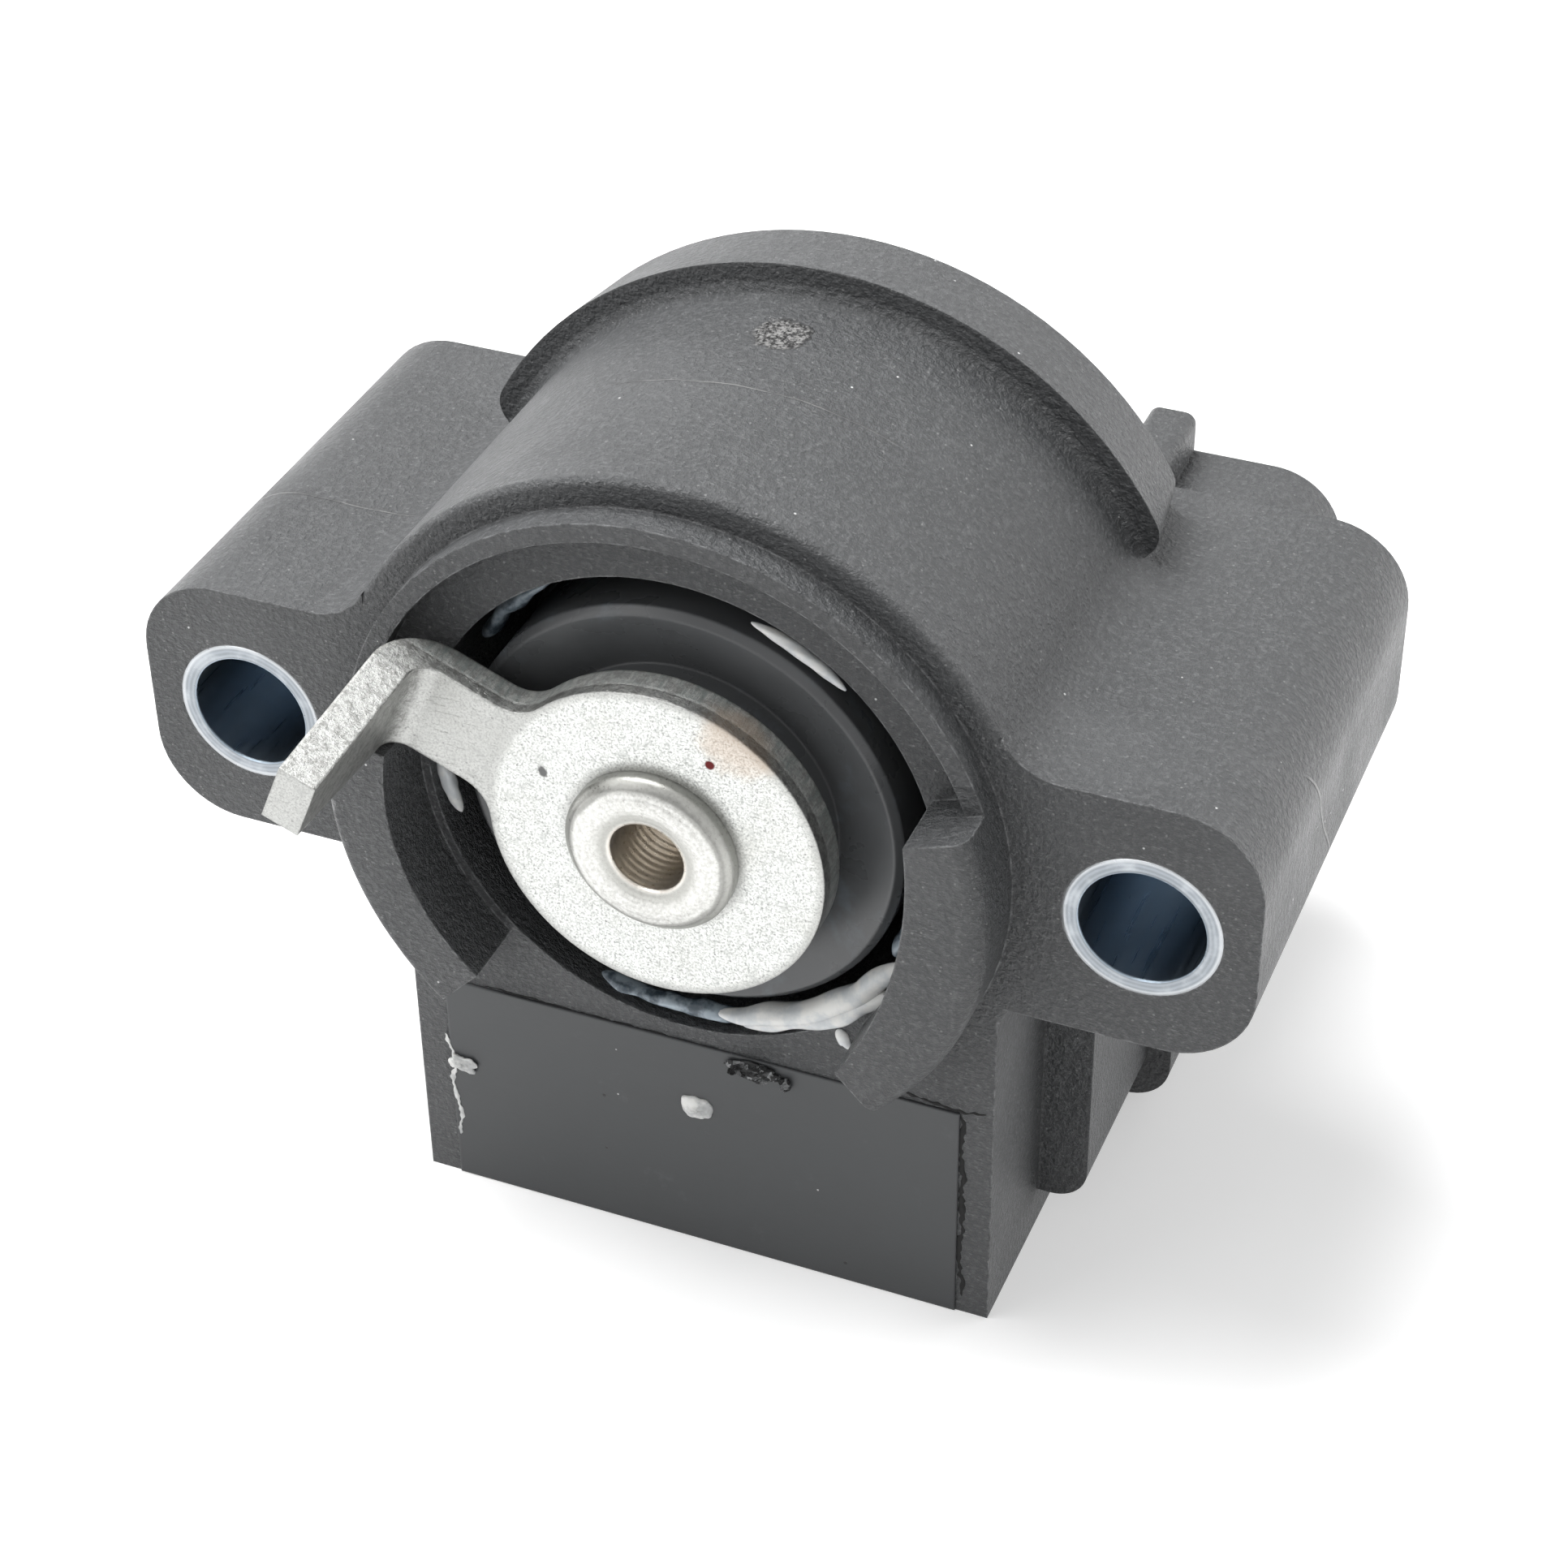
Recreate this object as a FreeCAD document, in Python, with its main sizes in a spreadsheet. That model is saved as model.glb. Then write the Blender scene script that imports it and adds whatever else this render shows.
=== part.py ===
"""Accelerator potentiometer with a cable lever, built as a parametric document in millimetres.

Frame: +Z up, +Y to the back, lever on the -Y side. The origin lies on the rotor axis, midway between
the two mounting holes, in the plane of the ears' front faces.
"""
import FreeCAD
import Part
import Sketcher
import os
from types import SimpleNamespace
from FreeCAD import Placement, Rotation, Vector

# Driving dimensions in millimetres and degrees
SIZES = {
    # mounting ears and their sleeves
    "hole_spacing": 48.0,
    "sleeve_hole_radius": 3.2,
    "sleeve_wall": 0.8,
    "ear_margin": 5.8,
    "ear_half_height": 7.2,
    "ear_depth": 27.0,
    "ear_corner": 4.5,
    "ear_blend": 3.5,
    # barrel, its bore and the rear flange
    "barrel_radius": 19.0,
    "barrel_front_round": 0.4,
    "bore_radius": 13.7,
    "partition_front": 17.5,
    "partition_thickness": 3.0,
    "flange_front": 19.0,
    "flange_thickness": 5.0,
    "flange_step": 1.75,
    "flange_draft": 0.6,
    "flange_cove": 0.7,
    "flange_end_height": 7.6,
    "flange_end_round": 1.6,
    "rear_boss_radius": 16.4,
    # guard wall round the rotor, angles seen from the front, from +X towards +Z
    "guard_outer_radius": 17.5,
    "guard_inner_radius": 14.2,
    "guard_height": 4.0,
    "guard_edge_round": 0.9,
    "idle_edge_round": 0.45,
    "guard_gap_half_angle": 43.5,
    "open_stop_angle": 19.0,
    "open_hollow_radius": 23.8,
    "open_hollow_left": 10.3,
    "open_hollow_rise": 2.1,
    "idle_stop_angle": 169.7,
    "rim_width": 1.0,
    "rim_height": 1.6,
    # lower box
    "box_left": 15.75,
    "box_right": 17.0,
    "box_bottom": 28.7,
    "box_wall": 1.8,
    "box_floor": 1.5,
    "cavity_top": 14.7,
    "cavity_depth": 14.0,
    "cavity_back_wall": 2.0,
    "wing_reach": 2.7,
    "wing_front": 8.0,
    "wing_bottom": 26.4,
    "wing_corner": 2.0,
    "rear_step_front": 19.0,
    "rear_step_reach": 4.0,
    "rear_step_bottom": 28.0,
    "rear_step_corner": 2.5,
    # potting compound
    "potting_crown": 0.15,
    "potting_cap": 1.0,
    "potting_edge_round": 0.1,
    # rear chamber and cover
    "chamber_radius": 12.9,
    "board_seat_width": 1.1,
    "board_thickness": 1.5,
    "board_depth": 2.1,
    "cover_thickness": 2.5,
    "cover_radius": 15.4,
    "lead_chamber_left": 4.0,
    "lead_chamber_right": 15.2,
    "lead_chamber_top": 16.0,
    "lead_slot_height": 4.0,
    # connector shroud on the rear cover
    "shroud_left": 1.5,
    "shroud_right": 22.3,
    "shroud_top": 1.0,
    "shroud_height": 14.0,
    "shroud_length": 14.5,
    "shroud_wall": 1.6,
    "shroud_corner": 4.2,
    "shroud_floor": 2.0,
    "key_rib_width": 2.8,
    "key_rib_height": 2.4,
    # terminals
    "terminal_count": 4,
    "terminal_pitch": 2.5,
    "terminal_lead_shift": 2.7,
    "terminal_width": 1.5,
    "terminal_thickness": 0.64,
    "terminal_recess": 5.0,
    "terminal_lead_height": 20.0,
    "terminal_lead_front": 11.0,
    # lever
    "lever_thickness": 2.0,
    "lever_front": 2.75,
    "lever_disc_radius": 8.95,
    "lever_arm_width": 5.4,
    "lever_reach": 16.3,
    "lever_bend_radius": 1.2,
    "lever_neck_round": 2.2,
    "tab_length": 10.0,
    "tab_tip_width": 3.3,
    "lever_rest_angle": 157.5,
    # spindle
    "spindle_radius": 2.6,
    "spindle_bore_radius": 2.0,
    "spindle_bore_depth": 6.0,
    "spindle_head_radius": 4.5,
    "spindle_head_height": 1.25,
    "spindle_end": 24.0,
    # rotor
    "rotor_radius": 11.8,
    "rotor_rim_front": 0.3,
    "rotor_dish_depth": 1.0,
    "rotor_disc_back": 4.0,
    "rotor_skirt_back": 7.0,
    "rotor_skirt_wall": 1.2,
    "rotor_hub_radius": 5.6,
    "running_gap": 0.05,
    # bearing pieces
    "bush_radius": 4.6,
    "seal_thickness": 1.0,
    "seal_radius": 5.4,
    "washer_radius": 6.4,
    "washer_thickness": 0.5,
    "clip_radius": 4.4,
    "clip_thickness": 0.6,
    # springs
    "spring_wire": 1.4,
    "spring_mean_radius": 11.6,
    "spring_pitch": 1.75,
    "reserve_wire": 1.1,
    "reserve_mean_radius": 8.0,
    "reserve_pitch": 1.5,
    # wiper
    "carrier_radius": 11.0,
    "carrier_thickness": 1.4,
    "carrier_hub_radius": 4.4,
    "wiper_thickness": 0.3,
    "wiper_width": 2.2,
    "wiper_outer_reach": 12.2,
    "wiper_inner_reach": 9.6,
    "wiper_gap": 0.15,
    "wiper_stand": 1.9,
    # circuit board in the potting
    "circuit_front": 10.0,
    "circuit_thickness": 1.6,
    "circuit_margin": 1.0,
}

doc = FreeCAD.newDocument("accelerator_potentiometer")


class Size:
    """A number together with the spreadsheet expression that gives it."""

    def __init__(self, value, text):
        self.value = value
        self.text = text

    def __add__(self, other):
        other = as_size(other)
        return Size(self.value + other.value, f"({self.text} + {other.text})")

    def __sub__(self, other):
        other = as_size(other)
        return Size(self.value - other.value, f"({self.text} - {other.text})")

    def __mul__(self, other):
        other = as_size(other)
        return Size(self.value * other.value, f"({self.text} * {other.text})")

    def __truediv__(self, other):
        other = as_size(other)
        return Size(self.value / other.value, f"({self.text} / {other.text})")

    def __neg__(self):
        return Size(-self.value, f"(0 - {self.text})")

    __radd__ = __add__

    def __rsub__(self, other):
        return as_size(other) - self


def as_size(number):
    """A plain number as a Size, so that both kinds can be mixed."""
    return number if isinstance(number, Size) else Size(float(number), f"{float(number):g}")


def polar(radius, angle):
    """Point at a radius and an angle in degrees, as (x, z)."""
    turn = Rotation(Vector(0, 0, 1), angle.value).multVec(Vector(1, 0, 0))
    return (Size(radius.value * turn.x, f"({radius.text} * cos({angle.text}))"),
            Size(radius.value * turn.y, f"({radius.text} * sin({angle.text}))"))


def root(size):
    """Square root of a Size."""
    return Size(size.value ** 0.5, f"sqrt({size.text})")


def make_sheet():
    """The spreadsheet of driving dimensions, returned as a namespace of Sizes."""
    sheet = doc.addObject("Spreadsheet::Sheet", "Sizes")
    for row, (name, value) in enumerate(SIZES.items(), start=1):
        sheet.set(f"A{row}", name)
        sheet.set(f"B{row}", str(value))
        sheet.setAlias(f"B{row}", name)
    doc.recompute()
    return SimpleNamespace(**{name: Size(value, f"Sizes.{name}") for name, value in SIZES.items()})


S = make_sheet()

# Greatest sine of the angle between edges that count as parallel, and a full turn in degrees
PARALLEL = 1e-6
FULL_TURN = 360
# Share of a thin wall that the round of its edge may take
ROUND_SHARE = 0.5
# Y axis of the document as the local Z axis of a primitive
ALONG_Y = Rotation(Vector(1, 0, 0), -90)
# Sketch planes: local x, y and normal on X, Z, -Y and on Y, Z, X
FRONT_PLANE = Rotation(Vector(1, 0, 0), 90)
SIDE_PLANE = Rotation(Vector(1, 1, 1), 120)


def bind(obj, sizes):
    """Bind properties of an object to Sizes."""
    for name, size in sizes.items():
        obj.setExpression(name, as_size(size).text)


def block(name, x, y, z):
    """Box between pairs of Sizes along each axis."""
    obj = doc.addObject("Part::Box", name)
    bind(obj, {"Length": x[1] - x[0], "Width": y[1] - y[0], "Height": z[1] - z[0],
               "Placement.Base.x": x[0], "Placement.Base.y": y[0], "Placement.Base.z": z[0]})
    return obj


def drum(name, radius, y, x=0):
    """Cylinder along Y between a pair of Sizes."""
    obj = doc.addObject("Part::Cylinder", name)
    obj.Placement = Placement(Vector(), ALONG_Y)
    bind(obj, {"Radius": radius, "Height": y[1] - y[0], "Placement.Base.x": x, "Placement.Base.y": y[0]})
    return obj


def fuse(name, *shapes):
    """Union of several objects."""
    obj = doc.addObject("Part::MultiFuse", name)
    obj.Shapes = list(shapes)
    obj.Refine = True
    return obj


def common(name, *shapes):
    """Intersection of several objects."""
    obj = doc.addObject("Part::MultiCommon", name)
    obj.Shapes = list(shapes)
    return obj


def cut(name, base, *tools):
    """One object less one or more others."""
    obj = doc.addObject("Part::Cut", name)
    obj.Base = base
    obj.Tool = tools[0] if len(tools) == 1 else fuse(name + "_tools", *tools)
    obj.Refine = True
    return obj


def ring(name, outer, inner, y):
    """Tube along Y between two radii."""
    return cut(name, drum(name + "_outer", outer, y), drum(name + "_inner", inner, y))


def rounded(name, base, radius, test):
    """Fillet of every edge that passes the test."""
    doc.recompute()
    obj = doc.addObject("Part::Fillet", name)
    obj.Base = base
    edges = enumerate(base.Shape.Edges, start=1)
    obj.Edges = [(i, radius.value, radius.value) for i, edge in edges if test(edge)]
    return obj


def line_along(edge, axis):
    """True for a straight edge that runs along an axis."""
    if not isinstance(edge.Curve, Part.Line):
        return False
    return edge.Curve.Direction.cross(axis).Length < PARALLEL


def middle(edge):
    """Middle point of an edge."""
    return edge.valueAt((edge.FirstParameter + edge.LastParameter) / 2)


def near(a, b):
    """True for two lengths that agree."""
    return abs(a - b) < 0.01


def draw(sketch, points):
    """Closed polygon in a sketch, with each corner held by its two coordinates."""
    corners = [Vector(as_size(u).value, as_size(v).value, 0) for u, v in points]
    count = len(corners)
    for i in range(count):
        sketch.addGeometry(Part.LineSegment(corners[i], corners[(i + 1) % count]), False)
    for i in range(count):
        sketch.addConstraint(Sketcher.Constraint("Coincident", i, 2, (i + 1) % count, 1))
    for i, (u, v) in enumerate(points):
        for kind, size in (("DistanceX", as_size(u)), ("DistanceY", as_size(v))):
            held = sketch.addConstraint(Sketcher.Constraint(kind, -1, 1, i, 1, size.value))
            sketch.setExpression(f"Constraints[{held}]", size.text)


def prism(name, points, y):
    """Polygon of (x, z) points carried along Y."""
    sketch = doc.addObject("Sketcher::SketchObject", name + "_outline")
    sketch.Placement = Placement(Vector(), FRONT_PLANE)
    bind(sketch, {"Placement.Base.y": y[0]})
    draw(sketch, points)
    obj = doc.addObject("Part::Extrusion", name)
    obj.Base = sketch
    obj.DirMode = "Custom"
    obj.Dir = Vector(0, 1, 0)
    obj.Solid = True
    bind(obj, {"LengthFwd": y[1] - y[0]})
    return obj


def slab(name, points, x):
    """Polygon of (y, z) points carried along X."""
    sketch = doc.addObject("Sketcher::SketchObject", name + "_outline")
    sketch.Placement = Placement(Vector(), SIDE_PLANE)
    bind(sketch, {"Placement.Base.x": x[0]})
    draw(sketch, points)
    obj = doc.addObject("Part::Extrusion", name)
    obj.Base = sketch
    obj.DirMode = "Custom"
    obj.Dir = Vector(1, 0, 0)
    obj.Solid = True
    bind(obj, {"LengthFwd": x[1] - x[0]})
    return obj


def body_plane(body, role):
    """One of a body's own origin planes."""
    return [f for f in body.Origin.OriginFeatures if f.Role == role][0]


def body_sketch(body, name, role):
    """Sketch on a body's origin plane."""
    sketch = body.newObject("Sketcher::SketchObject", name)
    sketch.AttachmentSupport = [(body_plane(body, role), "")]
    sketch.MapMode = "FlatFace"
    return sketch


def turned(name, points):
    """Body turned about the Y axis from a closed profile of (radius, y) points."""
    body = doc.addObject("PartDesign::Body", name)
    sketch = body_sketch(body, name + "_profile", "XY_Plane")
    draw(sketch, points)
    turn = body.newObject("PartDesign::Revolution", name + "_turn")
    turn.Profile = sketch
    turn.ReferenceAxis = (sketch, ["V_Axis"])
    turn.Angle = FULL_TURN
    body.Tip = turn
    return body


def tube(name, outer, inner, y):
    """Plain turned tube between two radii."""
    return turned(name, [(inner, y[0]), (outer, y[0]), (outer, y[1]), (inner, y[1])])


def wedge(name, start, end, y):
    """Triangular prism from the axis that spans two angles under 100 degrees apart, past the guard wall."""
    reach = S.guard_outer_radius * 2
    zero = as_size(0)
    return prism(name, [(zero, zero), polar(reach, start), polar(reach, end)], y)


# Shared places worked out from the driving dimensions
HALF_SPACING = S.hole_spacing / 2
SLEEVE_OUTER = S.sleeve_hole_radius + S.sleeve_wall
FRONT = as_size(0)
BACK = S.ear_depth
BARREL_BACK = S.flange_front + S.flange_thickness
PARTITION_BACK = S.partition_front + S.partition_thickness
BOARD_FRONT = BACK - S.board_depth
BOARD_BACK = BOARD_FRONT + S.board_thickness
BOARD_RADIUS = S.chamber_radius + S.board_seat_width
LEVER_BACK = S.lever_thickness - S.lever_front
CUT_THROUGH = as_size(1)
GUARD_FRONT = -S.guard_height
GAP_RIGHT = S.guard_gap_half_angle - 90
GAP_LEFT = as_size(270) - S.guard_gap_half_angle
COVER_BACK = BACK + S.cover_thickness
SHROUD_BACK = COVER_BACK + S.shroud_length
TERMINAL_TIP = SHROUD_BACK - S.terminal_recess
SHROUD_BOTTOM = -(S.shroud_top + S.shroud_height)
SHROUD_MIDDLE = (S.shroud_left + S.shroud_right) / 2
TERMINAL_HEIGHT = -(S.shroud_top + S.shroud_height / 2)
CAVITY_LEFT = S.box_wall - S.box_left
CAVITY_RIGHT = S.box_right - S.box_wall
CAVITY_BOTTOM = S.box_floor - S.box_bottom
CARRIER_BACK = BOARD_FRONT - S.wiper_stand
CARRIER_FRONT = CARRIER_BACK - S.carrier_thickness
HUB_END = S.partition_front - S.washer_thickness - S.running_gap
Y_AXIS = Vector(0, 1, 0)


def make_ear(side):
    """One mounting ear, with rounded outer corners, reaching into the barrel."""
    name = "ear_right" if side > 0 else "ear_left"
    reach = HALF_SPACING + S.ear_margin
    inner = S.bore_radius + CUT_THROUGH
    x = (inner, reach) if side > 0 else (-reach, -inner)
    ear = block(name, x, (FRONT, BACK), (-S.ear_half_height, S.ear_half_height))
    return rounded(name + "_rounded", ear, S.ear_corner,
                   lambda e: line_along(e, Y_AXIS) and near(abs(middle(e).x), reach.value))


def make_ear_blend(side):
    """Hollow blend between the top of an ear and the barrel, tangent to both."""
    name = "ear_blend_right" if side > 0 else "ear_blend_left"
    y = (FRONT, BARREL_BACK)
    centre_radius = S.barrel_radius + S.ear_blend
    centre_z = S.ear_half_height + S.ear_blend
    centre_x = root(centre_radius * centre_radius - centre_z * centre_z)
    share = S.barrel_radius / centre_radius
    touch = (centre_x * share * side, centre_z * share)
    fill = prism(name + "_fill", [(centre_x * side, S.ear_half_height), touch, (touch[0], FRONT),
                                  (centre_x * side, FRONT)], y)
    hollow = drum(name + "_hollow", S.ear_blend, y, centre_x * side)
    bind(hollow, {"Placement.Base.z": centre_z})
    return cut(name, fill, hollow)


def make_barrel():
    """Barrel with a softened front edge."""
    barrel = drum("barrel", S.barrel_radius, (FRONT, BARREL_BACK))
    return rounded("barrel_rounded", barrel, S.barrel_front_round,
                   lambda e: isinstance(e.Curve, Part.Circle) and near(middle(e).y, 0))


def make_flange():
    """Half flange round the barrel's back: cove at its root, drafted rim, ends rounded above the ears."""
    radius = S.barrel_radius + S.flange_step
    back_radius = radius - S.flange_draft
    cove_front = S.flange_front - S.flange_cove
    inner = S.bore_radius + CUT_THROUGH
    disc = turned("flange_disc", [
        (inner, cove_front), (S.barrel_radius, cove_front),
        (S.barrel_radius + S.flange_cove / 3, S.flange_front - S.flange_cove / 3),
        (S.barrel_radius + S.flange_cove, S.flange_front), (radius, S.flange_front),
        (back_radius, BARREL_BACK), (inner, BARREL_BACK)])
    upper = block("flange_upper_half", (-radius, radius), (cove_front, BARREL_BACK),
                  (S.flange_end_height, radius + CUT_THROUGH))
    half = common("flange_half", disc, upper)

    def outer_end(edge):
        point = middle(edge)
        reach = (point.x ** 2 + point.z ** 2) ** 0.5
        between_faces = S.flange_front.value < point.y < BARREL_BACK.value
        return between_faces and near(point.z, S.flange_end_height.value) and reach > back_radius.value

    return rounded("flange", half, S.flange_end_round, outer_end)


def make_guards():
    """Guard wall on the front: idle stop at the left, open stop at the right, low rim between them."""
    y = (GUARD_FRONT, FRONT)
    hollow = drum("open_stop_hollow", S.open_hollow_radius, y, -S.open_hollow_left)
    bind(hollow, {"Placement.Base.z": S.open_hollow_rise})
    wall = cut("open_wall", drum("open_wall_outer", S.guard_outer_radius, y), hollow)
    right = common("open_stop", wall, wedge("open_stop_sector", GAP_RIGHT, S.open_stop_angle, y))
    left_wall = ring("idle_wall", S.guard_outer_radius, S.guard_inner_radius, y)
    left = common("idle_stop", left_wall, wedge("idle_stop_sector", S.idle_stop_angle, GAP_LEFT, y))
    rim_inner = S.guard_outer_radius - S.rim_width
    rim = ring("rim", S.guard_outer_radius, rim_inner, (-S.rim_height, FRONT))
    gap = wedge("guard_gap", GAP_LEFT, GAP_RIGHT + FULL_TURN, (GUARD_FRONT, FRONT))
    low = cut("low_rim", rim, gap)

    def open_wall_at(angle):
        x, z = polar(S.guard_outer_radius, angle)
        from_hollow = Vector(x.value + S.open_hollow_left.value, 0, z.value - S.open_hollow_rise.value)
        return from_hollow.Length - S.open_hollow_radius.value

    def front_outer(edge):
        circle = isinstance(edge.Curve, Part.Circle) and near(edge.Curve.Radius, S.guard_outer_radius.value)
        return circle and near(middle(edge).y, GUARD_FRONT.value)

    thinnest = min(open_wall_at(GAP_RIGHT), open_wall_at(S.open_stop_angle))
    open_round = as_size(min(S.guard_edge_round.value, thinnest * ROUND_SHARE))
    return [rounded("open_stop_rounded", right, open_round, front_outer),
            rounded("idle_stop_rounded", left, S.idle_edge_round, front_outer), low]


def make_box():
    """Lower box with its side wing and the wider step at the back."""
    top = -S.ear_half_height / 2
    main = block("box_main", (-S.box_left, S.box_right), (FRONT, BACK), (-S.box_bottom, top))
    wing_right = S.box_right + S.wing_reach
    wing = block("box_wing", (FRONT, wing_right), (S.wing_front, BACK), (-S.wing_bottom, top))
    wing = rounded("box_wing_rounded", wing, S.wing_corner,
                   lambda e: line_along(e, Y_AXIS) and near(middle(e).z, -S.wing_bottom.value)
                   and middle(e).x > S.box_right.value)
    step = block("box_step", (FRONT, S.box_right + S.rear_step_reach), (S.rear_step_front, BACK),
                 (-S.rear_step_bottom, top))
    step = rounded("box_step_rounded", step, S.rear_step_corner,
                   lambda e: line_along(e, Y_AXIS) and near(middle(e).z, -S.rear_step_bottom.value)
                   and middle(e).x > S.box_right.value)
    return [main, wing, step]


def make_housing():
    """Moulded housing: barrel, ears, flange, guards and box, less its bores and cavities."""
    boss = drum("rear_boss", S.rear_boss_radius, (FRONT, BACK))
    solid = fuse("housing_solid", make_barrel(), make_ear(1), make_ear(-1), make_ear_blend(1),
                 make_ear_blend(-1), make_flange(), boss, *make_guards(), *make_box())
    through = (-CUT_THROUGH, BACK + CUT_THROUGH)
    slot_half = S.lead_slot_height / 2
    tools = [
        drum("bore", S.bore_radius, (-CUT_THROUGH, S.partition_front)),
        drum("bush_seat", S.bush_radius, (FRONT, BACK)),
        drum("seal_seat", S.seal_radius, (PARTITION_BACK - S.seal_thickness, BACK)),
        drum("chamber", S.chamber_radius, (PARTITION_BACK, BACK + CUT_THROUGH)),
        drum("board_seat", BOARD_RADIUS, (BOARD_FRONT, BACK + CUT_THROUGH)),
        block("potting_cavity", (CAVITY_LEFT, CAVITY_RIGHT), (-CUT_THROUGH, S.cavity_depth),
              (CAVITY_BOTTOM, -S.cavity_top)),
        block("potting_lip", (CAVITY_LEFT, CAVITY_RIGHT), (-CUT_THROUGH, S.potting_cap),
              (-(S.box_bottom + CUT_THROUGH), -S.cavity_top)),
        block("lead_chamber", (S.lead_chamber_left, S.lead_chamber_right),
              (S.cavity_depth + S.cavity_back_wall, BACK + CUT_THROUGH),
              (CAVITY_BOTTOM, -S.lead_chamber_top)),
        block("lead_slot", (S.lead_chamber_left, S.lead_chamber_right), (S.cavity_depth - CUT_THROUGH, BACK),
              (-S.terminal_lead_height - slot_half, -S.terminal_lead_height + slot_half)),
    ]
    for side, word in ((-1, "left"), (1, "right")):
        tools.append(drum("sleeve_hole_" + word, SLEEVE_OUTER, through, HALF_SPACING * side))
    return cut("housing", solid, *tools)


def make_sleeve(side):
    """Steel sleeve through an ear, flush at both ends."""
    name = "mounting_sleeve_right" if side > 0 else "mounting_sleeve_left"
    body = tube(name, SLEEVE_OUTER, S.sleeve_hole_radius, (FRONT, BACK))
    bind(body, {"Placement.Base.x": HALF_SPACING * side})
    return body


def make_lever_strip():
    """Arm and tab of the lever as one bent strip that narrows towards the tip of the tab."""
    half = S.lever_arm_width / 2
    half_tip = S.tab_tip_width / 2
    tip = -(S.lever_front + S.tab_length)
    outer = S.lever_bend_radius + S.lever_thickness
    bend_x = S.lever_reach - outer
    bend_y = LEVER_BACK - outer
    arm = block("lever_arm", (FRONT, bend_x), (-S.lever_front, LEVER_BACK), (-half, half))
    tab_x = (S.lever_reach - S.lever_thickness, S.lever_reach)
    tab = block("lever_tab", tab_x, (tip, bend_y), (-half, half))
    pins = []
    for word, radius in (("outer", outer), ("inner", S.lever_bend_radius)):
        pin = doc.addObject("Part::Cylinder", f"lever_bend_{word}")
        bind(pin, {"Radius": radius, "Height": S.lever_arm_width, "Placement.Base.x": bend_x,
                   "Placement.Base.y": bend_y, "Placement.Base.z": -half})
        pins.append(pin)
    quarter = block("lever_bend_quarter", (bend_x, S.lever_reach), (bend_y, LEVER_BACK), (-half, half))
    bend = common("lever_bend", cut("lever_bend_ring", *pins), quarter)
    outline = slab("lever_taper", [(LEVER_BACK, -half), (bend_y, -half), (tip, -half_tip), (tip, half_tip),
                                   (bend_y, half), (LEVER_BACK, half)], (FRONT, S.lever_reach))
    return common("lever_strip", fuse("lever_bent", arm, bend, tab), outline)


def make_lever():
    """Stamped lever: disc, arm and a tab bent forwards, turned to its rest angle."""
    disc = drum("lever_disc", S.lever_disc_radius, (-S.lever_front, LEVER_BACK))
    flat = fuse("lever_flat", disc, make_lever_strip())

    def neck(edge):
        point = middle(edge)
        radius = (point.x ** 2 + point.z ** 2) ** 0.5
        return line_along(edge, Y_AXIS) and near(radius, S.lever_disc_radius.value)

    necked = rounded("lever_necked", flat, S.lever_neck_round, neck)
    bored = cut("lever_bored", necked, drum("lever_hole", S.spindle_radius, (-S.guard_height, FRONT)))
    lever = doc.addObject("Part::Compound", "lever")
    lever.Links = [bored]
    lever.Placement = Placement(Vector(), Rotation(Vector(0, 1, 0), -S.lever_rest_angle.value))
    lever.setExpression("Placement.Rotation.Angle", f"0 - {S.lever_rest_angle.text}")
    return lever


def make_spindle():
    """Steel spindle with a flared hollow head that rivets the lever to the rotor."""
    head = -S.lever_front
    top = head - S.spindle_head_height
    lip = (S.spindle_bore_radius + S.spindle_head_radius) / 2
    return turned("rotor_spindle", [
        (S.spindle_bore_radius, top + S.spindle_head_height / 4), (lip, top),
        (S.spindle_head_radius - S.spindle_head_height / 3, top + S.spindle_head_height / 5),
        (S.spindle_head_radius, head - S.spindle_head_height / 2), (S.spindle_head_radius, head),
        (S.spindle_radius, head), (S.spindle_radius, S.spindle_end), (FRONT, S.spindle_end),
        (FRONT, head + S.spindle_bore_depth + S.spindle_bore_radius / 2),
        (S.spindle_bore_radius, head + S.spindle_bore_depth)])


def make_rotor():
    """Moulded rotor: dished front disc, short skirt over the spring and a long hub on the spindle."""
    dish = S.rotor_rim_front + S.rotor_dish_depth
    seat = S.lever_disc_radius - S.spindle_head_height
    skirt_inner = S.rotor_radius - S.rotor_skirt_wall
    soft = S.rotor_skirt_wall / 3
    return turned("rotor", [
        (S.spindle_radius, LEVER_BACK), (seat, LEVER_BACK), (seat + soft, dish),
        (S.rotor_radius - soft, S.rotor_rim_front), (S.rotor_radius, S.rotor_rim_front + soft),
        (S.rotor_radius, S.rotor_skirt_back), (skirt_inner, S.rotor_skirt_back),
        (skirt_inner, S.rotor_disc_back), (S.rotor_hub_radius, S.rotor_disc_back),
        (S.rotor_hub_radius, HUB_END), (S.spindle_radius, HUB_END)])


def make_bearing():
    """Bush, seal, thrust washer and retaining clip at the partition."""
    bore = S.spindle_radius + S.running_gap
    seal_front = PARTITION_BACK - S.seal_thickness
    bush = tube("bearing_bush", S.bush_radius, bore, (S.partition_front, seal_front))
    seal = turned("spindle_seal", [
        (bore, seal_front), (S.seal_radius, seal_front), (S.seal_radius, PARTITION_BACK),
        (bore + S.seal_thickness, PARTITION_BACK), (bore, seal_front + S.seal_thickness / 2)])
    washer = tube("thrust_washer", S.washer_radius, bore,
                  (S.partition_front - S.washer_thickness, S.partition_front))
    clip_front = PARTITION_BACK + S.running_gap * 2
    clip_y = (clip_front, clip_front + S.clip_thickness)
    clip = tube("retaining_clip", S.clip_radius, S.spindle_radius, clip_y)
    return [bush, seal, washer, clip]


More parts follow.
